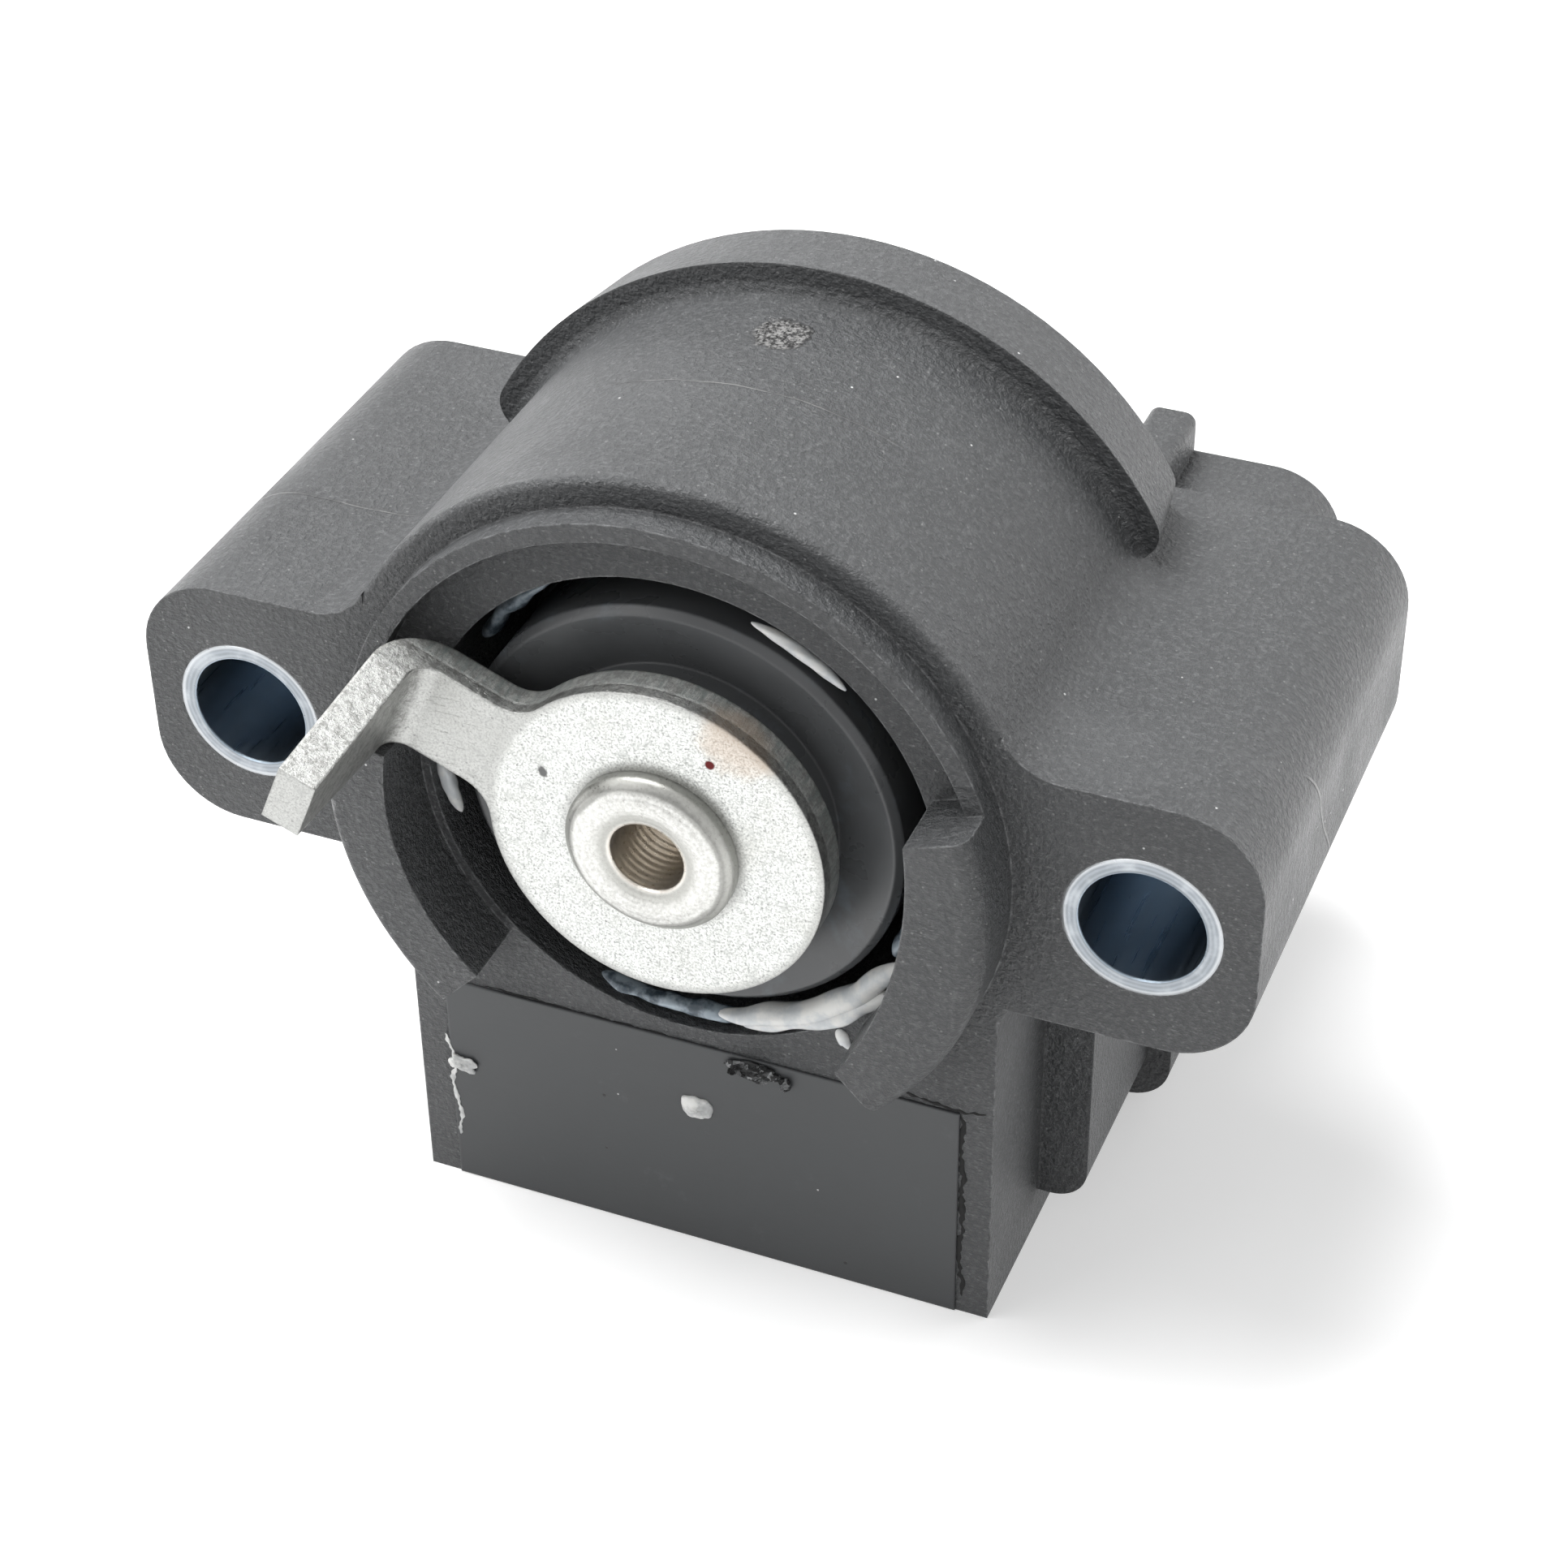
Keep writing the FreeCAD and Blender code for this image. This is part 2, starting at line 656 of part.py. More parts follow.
def make_spring(name, wire, mean_radius, pitch, y):
    """Close-wound torsion spring about the Y axis, between two places."""
    body = doc.addObject("PartDesign::Body", name)
    sketch = body_sketch(body, name + "_wire", "XY_Plane")
    start = y[0] + wire / 2
    centre = Vector(mean_radius.value, start.value, 0)
    sketch.addGeometry(Part.Circle(centre, Vector(0, 0, 1), wire.value / 2), False)
    for kind, size in (("DistanceX", mean_radius), ("DistanceY", start)):
        held = sketch.addConstraint(Sketcher.Constraint(kind, -1, 1, 0, 3, size.value))
        sketch.setExpression(f"Constraints[{held}]", size.text)
    held = sketch.addConstraint(Sketcher.Constraint("Radius", 0, wire.value / 2))
    sketch.setExpression(f"Constraints[{held}]", (wire / 2).text)
    doc.recompute()
    coil = body.newObject("PartDesign::AdditiveHelix", name + "_coil")
    coil.Profile = sketch
    coil.ReferenceAxis = (sketch, ["V_Axis"])
    coil.Mode = 0
    bind(coil, {"Pitch": pitch, "Height": y[1] - y[0] - wire})
    body.Tip = coil
    return body


def make_springs():
    """Return spring round the bore and reserve spring round the hub."""
    main = make_spring("return_spring", S.spring_wire, S.spring_mean_radius, S.spring_pitch,
                       (S.rotor_skirt_back + S.running_gap * 4, S.partition_front))
    reserve = make_spring("reserve_spring", S.reserve_wire, S.reserve_mean_radius, S.reserve_pitch,
                          (S.rotor_disc_back + S.running_gap * 4, S.partition_front))
    return [main, reserve]


def make_wiper():
    """Wiper carrier on the end of the spindle and its two spring contacts."""
    carrier = turned("wiper_carrier", [
        (S.spindle_radius, CARRIER_FRONT), (S.carrier_hub_radius, CARRIER_FRONT),
        (S.carrier_hub_radius, CARRIER_FRONT + S.carrier_thickness / 3),
        (S.carrier_radius, CARRIER_FRONT + S.carrier_thickness / 3), (S.carrier_radius, CARRIER_BACK),
        (S.spindle_radius, CARRIER_BACK)])
    contacts = []
    tip_back = BOARD_FRONT - S.wiper_gap
    leaf_y = (CARRIER_BACK, CARRIER_BACK + S.wiper_thickness)
    for word, reach, side in (("outer", S.wiper_outer_reach, 1), ("inner", S.wiper_inner_reach, -1)):
        half = S.wiper_width / 2
        foot_z = (S.carrier_hub_radius, reach) if side > 0 else (-reach, -S.carrier_hub_radius)
        leaf = block(f"wiper_{word}_leaf", (-half, half), leaf_y, foot_z)
        toe = foot_z[1] if side > 0 else foot_z[0]
        toe_z = (toe - S.wiper_thickness * 2, toe) if side > 0 else (toe, toe + S.wiper_thickness * 2)
        tip = block(f"wiper_{word}_tip", (-half, half), (CARRIER_BACK, tip_back), toe_z)
        contacts.append(fuse(f"wiper_contact_{word}", leaf, tip))
    return [carrier, *contacts]


def make_track_board():
    """Resistor track board clamped on the shoulder of the rear chamber."""
    outer = BOARD_RADIUS - S.running_gap
    return tube("track_board", outer, S.spindle_radius * 2, (BOARD_FRONT, BOARD_BACK))


def terminal_places():
    """X places of the terminals, spread about the middle of the connector."""
    count = int(SIZES["terminal_count"])
    first = SHROUD_MIDDLE - S.terminal_pitch * ((count - 1) / 2)
    return [first + S.terminal_pitch * i for i in range(count)]


def make_terminal(index, x, name_end=""):
    """Terminal blade: pin in the socket, slanted leg inside the cover and lead into the potting."""
    name = f"terminal_{index + 1}{name_end}"
    half_width = S.terminal_width / 2
    half = S.terminal_thickness / 2
    middle_y = BACK + S.cover_thickness / 2
    pin_x = (x - half_width, x + half_width)
    lead_x = (pin_x[0] - S.terminal_lead_shift, pin_x[1] - S.terminal_lead_shift)
    pin_z = (TERMINAL_HEIGHT - half, TERMINAL_HEIGHT + half)
    lead_z = (-S.terminal_lead_height - half, -S.terminal_lead_height + half)
    pin = block(name + "_pin", pin_x, (middle_y - half, TERMINAL_TIP), pin_z)
    leg = prism(name + "_leg", [(lead_x[0], lead_z[0]), (lead_x[1], lead_z[0]), (pin_x[1], pin_z[1]),
                                (pin_x[0], pin_z[1])], (middle_y - half, middle_y + half))
    lead = block(name + "_lead", lead_x, (S.terminal_lead_front, middle_y + half), lead_z)
    return fuse(name, pin, leg, lead)


def circuit_blank(name):
    """Plain block of the circuit board."""
    return block(name, (CAVITY_LEFT + S.circuit_margin, CAVITY_RIGHT - S.circuit_margin),
                 (S.circuit_front, S.circuit_front + S.circuit_thickness),
                 (CAVITY_BOTTOM + S.circuit_margin, -S.cavity_top - S.circuit_margin))


def make_circuit_board():
    """Circuit board held in the potting, with slots for the terminal leads."""
    board = circuit_blank("circuit_blank")
    leads = [make_terminal(i, x, "_board_slot") for i, x in enumerate(terminal_places())]
    return cut("circuit_board", board, *leads)


def make_potting():
    """Potting compound that fills the box round the circuit board, crowned at the front."""
    x = (CAVITY_LEFT, CAVITY_RIGHT)
    main = block("potting_fill", x, (FRONT, S.cavity_depth), (CAVITY_BOTTOM, -S.cavity_top))
    cap = block("potting_cap_block", x, (-S.potting_crown, S.potting_cap), (-S.box_bottom, -S.cavity_top))
    cap = rounded("potting_cap_rounded", cap, S.potting_edge_round,
                  lambda e: near(middle(e).y, -S.potting_crown.value))
    board = circuit_blank("potting_board_space")
    leads = [make_terminal(i, x, "_potting_slot") for i, x in enumerate(terminal_places())]
    return cut("potting", fuse("potting_solid", main, cap), board, *leads)


def make_rear_cover():
    """Rear cover with the connector shroud, key rib and socket; the terminals are moulded into it."""
    y = (BACK, COVER_BACK)
    plate = drum("cover_disc", S.cover_radius, y)
    foot = block("cover_foot", (-S.box_left, S.box_right), y, (-S.box_bottom, -S.ear_half_height))
    spigot = ring("cover_spigot", BOARD_RADIUS - S.running_gap, S.chamber_radius, (BOARD_BACK, BACK))
    shell = block("shroud_block", (S.shroud_left, S.shroud_right), (BACK, SHROUD_BACK),
                  (SHROUD_BOTTOM, -S.shroud_top))
    shell = rounded("shroud_rounded", shell, S.shroud_corner, lambda e: line_along(e, Y_AXIS))
    rib_half = S.key_rib_width / 2
    rib_top = S.key_rib_height - S.shroud_top
    rib = block("key_rib", (SHROUD_MIDDLE - rib_half, SHROUD_MIDDLE + rib_half), (BACK, SHROUD_BACK),
                (-S.shroud_top - S.shroud_wall, rib_top))
    rib = rounded("key_rib_rounded", rib, rib_half / 2,
                  lambda e: line_along(e, Y_AXIS) and near(middle(e).z, rib_top.value))
    socket = block("socket", (S.shroud_left + S.shroud_wall, S.shroud_right - S.shroud_wall),
                   (COVER_BACK + S.shroud_floor, SHROUD_BACK + CUT_THROUGH),
                   (SHROUD_BOTTOM + S.shroud_wall, -S.shroud_top - S.shroud_wall))
    socket = rounded("socket_rounded", socket, S.shroud_corner - S.shroud_wall,
                     lambda e: line_along(e, Y_AXIS))
    leads = [make_terminal(i, x, "_cover_slot") for i, x in enumerate(terminal_places())]
    solid = fuse("cover_solid", plate, foot, spigot, shell, rib)
    return cut("rear_cover", solid, socket, *leads)


def make_parts():
    """Every sub-part of the assembly."""
    parts = [make_housing(), make_sleeve(-1), make_sleeve(1), make_lever(), make_spindle(), make_rotor()]
    parts += make_bearing() + make_springs() + make_wiper()
    parts += [make_track_board(), make_circuit_board(), make_potting(), make_rear_cover()]
    parts += [make_terminal(i, x) for i, x in enumerate(terminal_places())]
    return parts


def check(parts):
    """Stop on any failed object or broken solid."""
    doc.recompute()
    for obj in doc.Objects:
        if "Invalid" in obj.State or "Error" in obj.State:
            raise RuntimeError(f"{obj.Name} failed: {obj.State}")
    for part in parts:
        shape = part.Shape
        if shape.isNull() or not shape.isValid() or not shape.Solids:
            raise RuntimeError(f"{part.Label} has no valid solid")


def main():
    parts = make_parts()
    check(parts)
    os.makedirs("parts", exist_ok=True)
    for part in parts:
        part.Shape.exportStep(f"parts/{part.Label}.step")
        print(f"{part.Label:24s} solids {len(part.Shape.Solids)} volume {part.Shape.Volume:10.2f}")


main()
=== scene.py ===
"""Looks of the accelerator potentiometer: finishes, grease, cast seams and the studio round it.

Lengths are written in millimetres and turned into metres by MM. The frame has +Z up and the lever towards -Y.
Angles round the rotor are seen from the front, from +X towards +Z.
"""
import bpy
import numpy as np
from mathutils import Matrix, Vector


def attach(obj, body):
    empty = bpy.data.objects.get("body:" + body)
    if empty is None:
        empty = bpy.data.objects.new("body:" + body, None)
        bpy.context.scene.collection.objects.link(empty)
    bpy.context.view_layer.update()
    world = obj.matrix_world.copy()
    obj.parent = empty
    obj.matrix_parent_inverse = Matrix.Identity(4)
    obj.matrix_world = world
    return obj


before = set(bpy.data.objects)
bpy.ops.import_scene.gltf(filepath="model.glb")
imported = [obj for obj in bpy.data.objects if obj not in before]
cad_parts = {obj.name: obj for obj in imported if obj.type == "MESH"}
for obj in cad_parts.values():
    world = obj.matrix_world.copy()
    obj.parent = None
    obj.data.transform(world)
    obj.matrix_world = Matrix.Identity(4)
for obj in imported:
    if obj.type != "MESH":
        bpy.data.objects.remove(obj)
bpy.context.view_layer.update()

MM = 0.001
# Places that the looks share with the solids
FLOOR_LEVEL = -28.7
LEVER_FRONT = -2.75
POTTING_FRONT = -0.15
PARTING_PLANE = 9.8
SLEEVE_AXIS = 24.0
SLEEVE_BORE_RADIUS = 3.2
SLEEVE_OUTER_RADIUS = 4.0
# Torn mark of the mould's gate on top of the barrel
GATE_PLACE = (-0.4, 15.2, 19.0)
GATE_RADIUS = 2.25
# Marks on the lever's front face
STAIN_PLACE = (4.6, LEVER_FRONT, 7.6)
SPOT_PLACE = (3.1, LEVER_FRONT, 5.8)
NICK_PLACE = (-5.9, LEVER_FRONT, 3.0)
# Radii on the lever's disc: its rolled rim, darkened as painted shade, and the ring of painted shade round
# the spindle's head
RIM_RADIUS = 9.1
HEAD_SHADE_RADIUS = 4.9
# Radii of the spindle's head: the edge of its hollow, and the crease at its outer slope
HOLLOW_RADIUS = 2.25
CREASE_RADIUS = 4.05
# Crumbled patch of the potting: its middle (x, z), and half its length and height
CRUMBLE_PLACE = (4.0, -15.3)
CRUMBLE_REACH = (1.9, 0.45)
CHIPS = 12
# Line on the right ear's side: its normal in the plane of that side, and its distance from the origin
RIGHT_LINE_NORMAL = (0.0, 0.824, 0.567)
RIGHT_LINE_REACH = 9.2
# Points along an arc and along a line, and rings and points round a blob
ARC_POINTS = 64
LINE_POINTS = 70
BLOB_RINGS = 26
BLOB_POINTS = 40
# The photograph's camera: turn in degrees (azimuth, elevation, roll), place along its own right, up and back,
# how far the image centre leans off its axis to the right and up, and focal length and image side in pixels
CAMERA_TURN = (24.008, 35.964, -1.509)
CAMERA_PLACE = (2.223, 4.115, 170.435)
CAMERA_LEAN = (0.01804, -0.01511)
FOCAL_PIXELS = 4250.55
PHOTO_PIXELS = 1932
SENSOR_WIDTH = 36.0
# The studio: half the floor's side in metres, its glow near the part and away from it with the distances in
# metres between which it changes, and the world's light on the part and as it is seen
FLOOR_REACH = 1.5
FLOOR_GLOW = (0.36, 0.68)
FLOOR_FADE = (0.2, 0.6)
WORLD_LIGHT = 0.45
WORLD_SEEN = 1.0


class Finish:
    """One node material, with short calls for the nodes that the finishes are made of."""

    def __init__(self, name, **sockets):
        self.material = bpy.data.materials.new(name)
        self.material.use_nodes = True
        self.nodes = self.material.node_tree.nodes
        self.links = self.material.node_tree.links
        self.shader = self.nodes["Principled BSDF"]
        for socket, value in sockets.items():
            self.shader.inputs[socket.replace("_", " ")].default_value = value
        self.place = self.nodes.new("ShaderNodeTexCoord").outputs["Object"]
        split = self.node("SeparateXYZ", {0: self.place})
        self.x, self.y, self.z = split.outputs

    def node(self, kind, inputs, **settings):
        """A node with its settings, its inputs fed with values or with other nodes' outputs."""
        made = self.nodes.new("ShaderNode" + kind)
        for key, value in settings.items():
            setattr(made, key, value)
        for key, value in inputs.items():
            self.feed(made.inputs[key], value)
        return made

    def feed(self, socket, value):
        """Links an output to a socket, or sets the socket's own value."""
        if isinstance(value, bpy.types.NodeSocket):
            self.links.new(value, socket)
        else:
            socket.default_value = value

    def set(self, socket, value):
        """Feeds one of the shader's sockets."""
        self.feed(self.shader.inputs[socket], value)

    def calc(self, operation, a, b=0.0):
        """One sum of one or two numbers, each a value or a node's output."""
        return self.node("Math", {0: a, 1: b}, operation=operation).outputs[0]

    def plus(self, a, b):
        """a + b."""
        return self.calc("ADD", a, b)

    def minus(self, a, b):
        """a - b."""
        return self.calc("SUBTRACT", a, b)

    def times(self, a, b):
        """a * b."""
        return self.calc("MULTIPLY", a, b)

    def larger(self, a, b):
        """The larger of a and b."""
        return self.calc("MAXIMUM", a, b)

    def absolute(self, a):
        """a without its sign."""
        return self.calc("ABSOLUTE", a)

    def sine(self, a):
        """Sine of a in radians."""
        return self.calc("SINE", a)

    def root(self, a):
        """Square root of a."""
        return self.calc("SQRT", a)

    def stretched(self, scale, turn=(0.0, 0.0, 0.0)):
        """Object coordinates turned and scaled along each axis."""
        return self.node("Mapping", {"Vector": self.place, "Scale": scale, "Rotation": turn}).outputs[0]

    def noise(self, size, detail=4.0, rough=0.55, place=None):
        """Cloudy pattern from 0 to 1, with features of a size in millimetres."""
        return self.node("TexNoise", {"Vector": place or self.place, "Scale": 1.0 / (size * MM),
                                      "Detail": detail, "Roughness": rough}).outputs["Fac"]

    def cells(self, size):
        """Scattered cells of a size in millimetres: distance to the nearest centre, and a colour per cell."""
        made = self.node("TexVoronoi", {"Vector": self.place, "Scale": 1.0 / (size * MM)})
        return made.outputs["Distance"], made.outputs["Color"]

    def step(self, value, low, high, start=0.0, end=1.0):
        """Smooth step of a value from start at low to end at high."""
        return self.node("MapRange", {"Value": value, "From Min": low, "From Max": high, "To Min": start,
                                      "To Max": end}, interpolation_type="SMOOTHSTEP").outputs["Result"]

    def blend(self, share, first, second):
        """Colour mixed from the first to the second by a share."""
        return self.node("Mix", {0: share, 6: first, 7: second}, data_type="RGBA").outputs[2]

    def distance(self, point):
        """Distance in metres from a point given in millimetres."""
        centre = tuple(c * MM for c in point)
        return self.node("VectorMath", {0: self.place, 1: centre}, operation="DISTANCE").outputs["Value"]

    def radius(self):
        """Distance in metres from the rotor's axis."""
        squares = self.plus(self.times(self.x, self.x), self.times(self.z, self.z))
        return self.root(squares)

    def specks(self, size, reach, share):
        """Small round specks: those within a reach of their cell's centre, in a share of the cells."""
        distance, colour = self.cells(size)
        pick = self.node("SeparateColor", {0: colour}).outputs[0]
        kept = self.step(pick, 1.0 - share - 0.02, 1.0 - share)
        return self.times(self.step(distance, reach, reach * 0.6), kept)

    def bump(self, height, strength, depth, normal=None):
        """Surface relief of a depth in millimetres, on top of another normal."""
        inputs = {"Height": height, "Strength": strength, "Distance": depth * MM}
        if normal is not None:
            inputs["Normal"] = normal
        return self.node("Bump", inputs).outputs[0]

    def edges(self, radius):
        """Share of 1 on an edge and 0 away from it, from how far a rounded normal leans off the true one."""
        flat = self.node("NewGeometry", {}).outputs["True Normal"]
        lean = self.node("VectorMath", {0: self.soft_edges(radius), 1: flat}, operation="DOT_PRODUCT")
        return self.step(lean.outputs["Value"], 0.985, 0.9)

    def soft_edges(self, radius):
        """Normal that rounds off the edges of a moulded or stamped piece by a radius in millimetres."""
        return self.node("Bevel", {"Radius": radius * MM}, samples=6).outputs[0]


def grey(level, blue=0.0):
    """A neutral colour, tinted a little towards blue or, below zero, towards brown."""
    return (level * (1 - blue), level, level * (1 + blue), 1.0)


def parting_lines(f):
    """Thin lines of the mould: over the barrel's top and the left ear, and aslant on the right ear's side."""
    waver = f.times(f.minus(f.noise(7.0, 2.0), 0.5), 1.2 * MM)
    off_plane = f.absolute(f.minus(f.plus(f.y, waver), PARTING_PLANE * MM))
    top = f.times(f.step(f.absolute(f.x), 8.5 * MM, 6.0 * MM), f.step(f.z, 12 * MM, 13 * MM))
    left = f.times(f.step(f.x, -18 * MM, -20 * MM), f.step(f.z, 5 * MM, 6 * MM))
    shown = f.larger(top, left)
    level = f.times(f.step(off_plane, 0.09 * MM, 0.03 * MM), shown)
    slant = f.node("VectorMath", {0: f.place, 1: RIGHT_LINE_NORMAL}, operation="DOT_PRODUCT").outputs["Value"]
    off_slant = f.absolute(f.minus(f.plus(slant, waver), RIGHT_LINE_REACH * MM))
    side = f.times(f.step(off_slant, 0.12 * MM, 0.04 * MM), f.step(f.x, 29.2 * MM, 29.5 * MM))
    return f.larger(level, side)


def moulded_plastic():
    """Glass-filled moulding: mottled dark grey with fine fibres, dust, parting lines and the gate mark."""
    f = Finish("moulded_plastic", Roughness=0.5, IOR=1.5)
    clouds = f.noise(6.0)
    grain = f.noise(0.34, 4.0, 0.65)
    fibre = f.noise(0.1, 2.0, 0.6, f.stretched((0.3, 1.0, 1.0), (0.3, 0.5, 0.9)))
    base = f.blend(clouds, grey(0.042, 0.05), grey(0.056, 0.04))
    base = f.blend(f.step(grain, 0.45, 0.7, 0.0, 0.7), base, grey(0.11, 0.03))
    base = f.blend(f.step(fibre, 0.58, 0.72, 0.0, 0.65), base, grey(0.19, 0.02))
    wear_and_painted_shade = f.times(f.step(f.noise(9.0, 6.0, 0.65), 0.45, 0.75), 0.4)
    base = f.blend(wear_and_painted_shade, base, grey(0.1, 0.03))
    worn_edge_and_highlight = f.times(f.edges(0.16), f.step(f.noise(0.9, 5.0, 0.7), 0.38, 0.62))
    # Only the edges near the front are made pale: wear together with a painted edge highlight
    worn_edge_and_highlight = f.times(worn_edge_and_highlight, f.step(f.y, 1.4 * MM, 0.7 * MM))
    base = f.blend(f.times(worn_edge_and_highlight, 0.8), base, grey(0.34, 0.02))
    # Pale specks: fibre ends, brightened as painted glints
    base = f.blend(f.times(f.specks(0.5, 0.16, 0.35), 0.45), base, grey(0.3))
    line = parting_lines(f)
    base = f.blend(f.times(line, f.step(f.noise(3.0), 0.3, 0.6, 0.15, 0.9)), base, grey(0.26))
    gate_edge = f.plus(f.distance(GATE_PLACE), f.times(f.noise(0.7), 1.2 * MM))
    gate = f.step(gate_edge, GATE_RADIUS * MM, (GATE_RADIUS - 0.4) * MM)
    torn = f.noise(0.22, 5.0, 0.75)
    base = f.blend(gate, base, f.blend(f.step(torn, 0.42, 0.62), grey(0.02), grey(0.62, -0.01)))
    dust = f.specks(1.5, 0.055, 0.16)
    base = f.blend(dust, base, grey(0.6))
    f.set("Base Color", base)
    f.set("Roughness", f.plus(f.step(clouds, 0.3, 0.7, 0.36, 0.48), f.times(gate, 0.3)))
    height = f.plus(f.times(grain, 1.6), f.times(fibre, 0.3))
    height = f.plus(height, f.times(f.times(torn, gate), 4.0))
    height = f.plus(height, f.times(line, 0.9))
    f.set("Normal", f.bump(height, 1.0, 0.17, f.soft_edges(0.22)))
    return f.material


def rotor_plastic():
    """Smooth black moulding with turned marks and thin grease films."""
    f = Finish("rotor_plastic", Roughness=0.3, IOR=1.5)
    clouds = f.noise(4.0)
    film = f.step(f.noise(2.6, 5.0, 0.6), 0.56, 0.75)
    base = f.blend(clouds, grey(0.08, 0.04), grey(0.12, 0.04))
    base = f.blend(f.times(film, 0.4), base, (0.17, 0.2, 0.23, 1.0))
    base = f.blend(f.specks(1.1, 0.05, 0.12), base, grey(0.4))
    f.set("Base Color", base)
    f.set("Roughness", f.step(clouds, 0.2, 0.8, 0.22, 0.4))
    rings = f.sine(f.times(f.radius(), 30 / MM))
    height = f.plus(f.times(rings, 0.1), f.noise(0.3))
    f.set("Normal", f.bump(height, 0.2, 0.02, f.soft_edges(0.25)))
    return f.material


def cast_resin():
    """Poured potting compound: smooth dark grey with faint swirls, pits and pale dust."""
    f = Finish("cast_resin", Roughness=0.42, IOR=1.5)
    swirl = f.noise(8.0, 5.0, 0.6, f.stretched((1.0, 1.0, 2.2), (0.0, 0.5, 0.0)))
    fine = f.noise(0.25, 3.0)
    base = f.blend(swirl, grey(0.036, 0.06), grey(0.056, 0.06))
    base = f.blend(f.step(f.noise(3.0, 6.0, 0.7), 0.6, 0.78, 0.0, 0.35), base, grey(0.1, 0.05))
    base = f.blend(f.specks(1.9, 0.045, 0.2), base, grey(0.5))
    # Pits are dented in the relief and also darkened in colour: painted shade
    pits = f.specks(2.3, 0.06, 0.2)
    base = f.blend(pits, base, grey(0.012))
    f.set("Base Color", base)
    f.set("Roughness", f.step(swirl, 0.25, 0.75, 0.36, 0.5))
    height = f.minus(f.times(fine, 0.4), f.times(pits, 2.0))
    f.set("Normal", f.bump(height, 0.35, 0.04, f.soft_edges(0.15)))
    return f.material


def zinc_plate():
    """Clear zinc plating on stamped steel: frosted bright grains, dark specks, rough sheared edges."""
    f = Finish("zinc_plate", Metallic=1.0)
    grain = f.noise(0.13, 5.0, 0.75)
    clouds = f.noise(3.5, 4.0)
    base = f.blend(f.step(grain, 0.34, 0.6), (0.26, 0.27, 0.26, 1.0), (0.76, 0.77, 0.75, 1.0))
    base = f.blend(f.step(clouds, 0.45, 0.75, 0.0, 0.4), base, (0.46, 0.46, 0.43, 1.0))
    # Darker towards the left arm: painted shade
    base = f.blend(f.step(f.x, 0.0, -12 * MM, 0.0, 0.1), base, (0.46, 0.47, 0.45, 1.0))
    frost = f.step(f.noise(0.7, 6.0, 0.8), 0.5, 0.64, 0.0, 0.55)
    base = f.blend(frost, base, (0.4, 0.41, 0.4, 1.0))
    # The rolled rim and the ring round the spindle's head are darkened: painted shade
    rolled = f.plus(f.radius(), f.times(grain, 0.4 * MM))
    rolled = f.step(rolled, (RIM_RADIUS - 0.6) * MM, RIM_RADIUS * MM, 0.0, 0.6)
    wear_and_painted_shade = f.plus(f.radius(), f.times(clouds, 0.8 * MM))
    wear_and_painted_shade = f.step(wear_and_painted_shade, (HEAD_SHADE_RADIUS + 0.7) * MM, HEAD_SHADE_RADIUS * MM, 0.0, 0.6)
    base = f.blend(f.larger(rolled, wear_and_painted_shade), base, (0.3, 0.3, 0.29, 1.0))
    normal = f.node("NewGeometry", {}).outputs["True Normal"]
    facing = f.absolute(f.node("SeparateXYZ", {0: normal}).outputs[1])
    edge = f.minus(1.0, f.step(facing, 0.7, 0.9))
    torn = f.noise(0.3, 4.0, 0.7, f.stretched((1.0, 0.12, 1.0)))
    torn_zone = f.times(edge, f.step(f.y, (LEVER_FRONT + 0.7) * MM, (LEVER_FRONT + 0.95) * MM))
    base = f.blend(f.times(torn_zone, f.step(torn, 0.35, 0.7)), base, (0.22, 0.25, 0.24, 1.0))
    shear = f.noise(0.45, 6.0, 0.8)
    sheared = f.times(edge, f.step(shear, 0.45, 0.6, 0.0, 0.75))
    base = f.blend(sheared, base, (0.2, 0.2, 0.19, 1.0))
    stain_edge = f.plus(f.distance(STAIN_PLACE), f.times(f.noise(1.2), 2.0 * MM))
    base = f.blend(f.step(stain_edge, 3.6 * MM, 2.2 * MM, 0.0, 0.5), base, (0.4, 0.3, 0.22, 1.0))
    spot = f.step(f.distance(SPOT_PLACE), 0.3 * MM, 0.2 * MM)
    base = f.blend(spot, base, (0.1, 0.02, 0.02, 1.0))
    nick = f.plus(f.distance(NICK_PLACE), f.times(f.noise(0.4), 0.8 * MM))
    base = f.blend(f.step(nick, 0.8 * MM, 0.55 * MM), base, (0.12, 0.12, 0.12, 1.0))
    base = f.blend(f.times(f.specks(0.4, 0.2, 0.3), 0.7), base, (0.2, 0.2, 0.2, 1.0))
    f.set("Base Color", base)
    f.set("Metallic", f.minus(1.0, f.times(torn_zone, 0.7)))
    f.set("Roughness", f.step(grain, 0.2, 0.8, 0.34, 0.52))
    scratch = f.noise(0.12, 2.0, 0.5, f.stretched((0.08, 1.0, 1.0), (0.0, 0.6, 0.0)))
    height = f.plus(f.times(grain, 0.6), f.times(f.step(scratch, 0.62, 0.7), 0.6))
    height = f.plus(height, f.times(f.times(torn, torn_zone), 4.0))
    height = f.plus(height, f.times(f.times(shear, edge), 3.0))
    f.set("Normal", f.bump(height, 0.5, 0.04, f.soft_edges(0.2)))
    return f.material


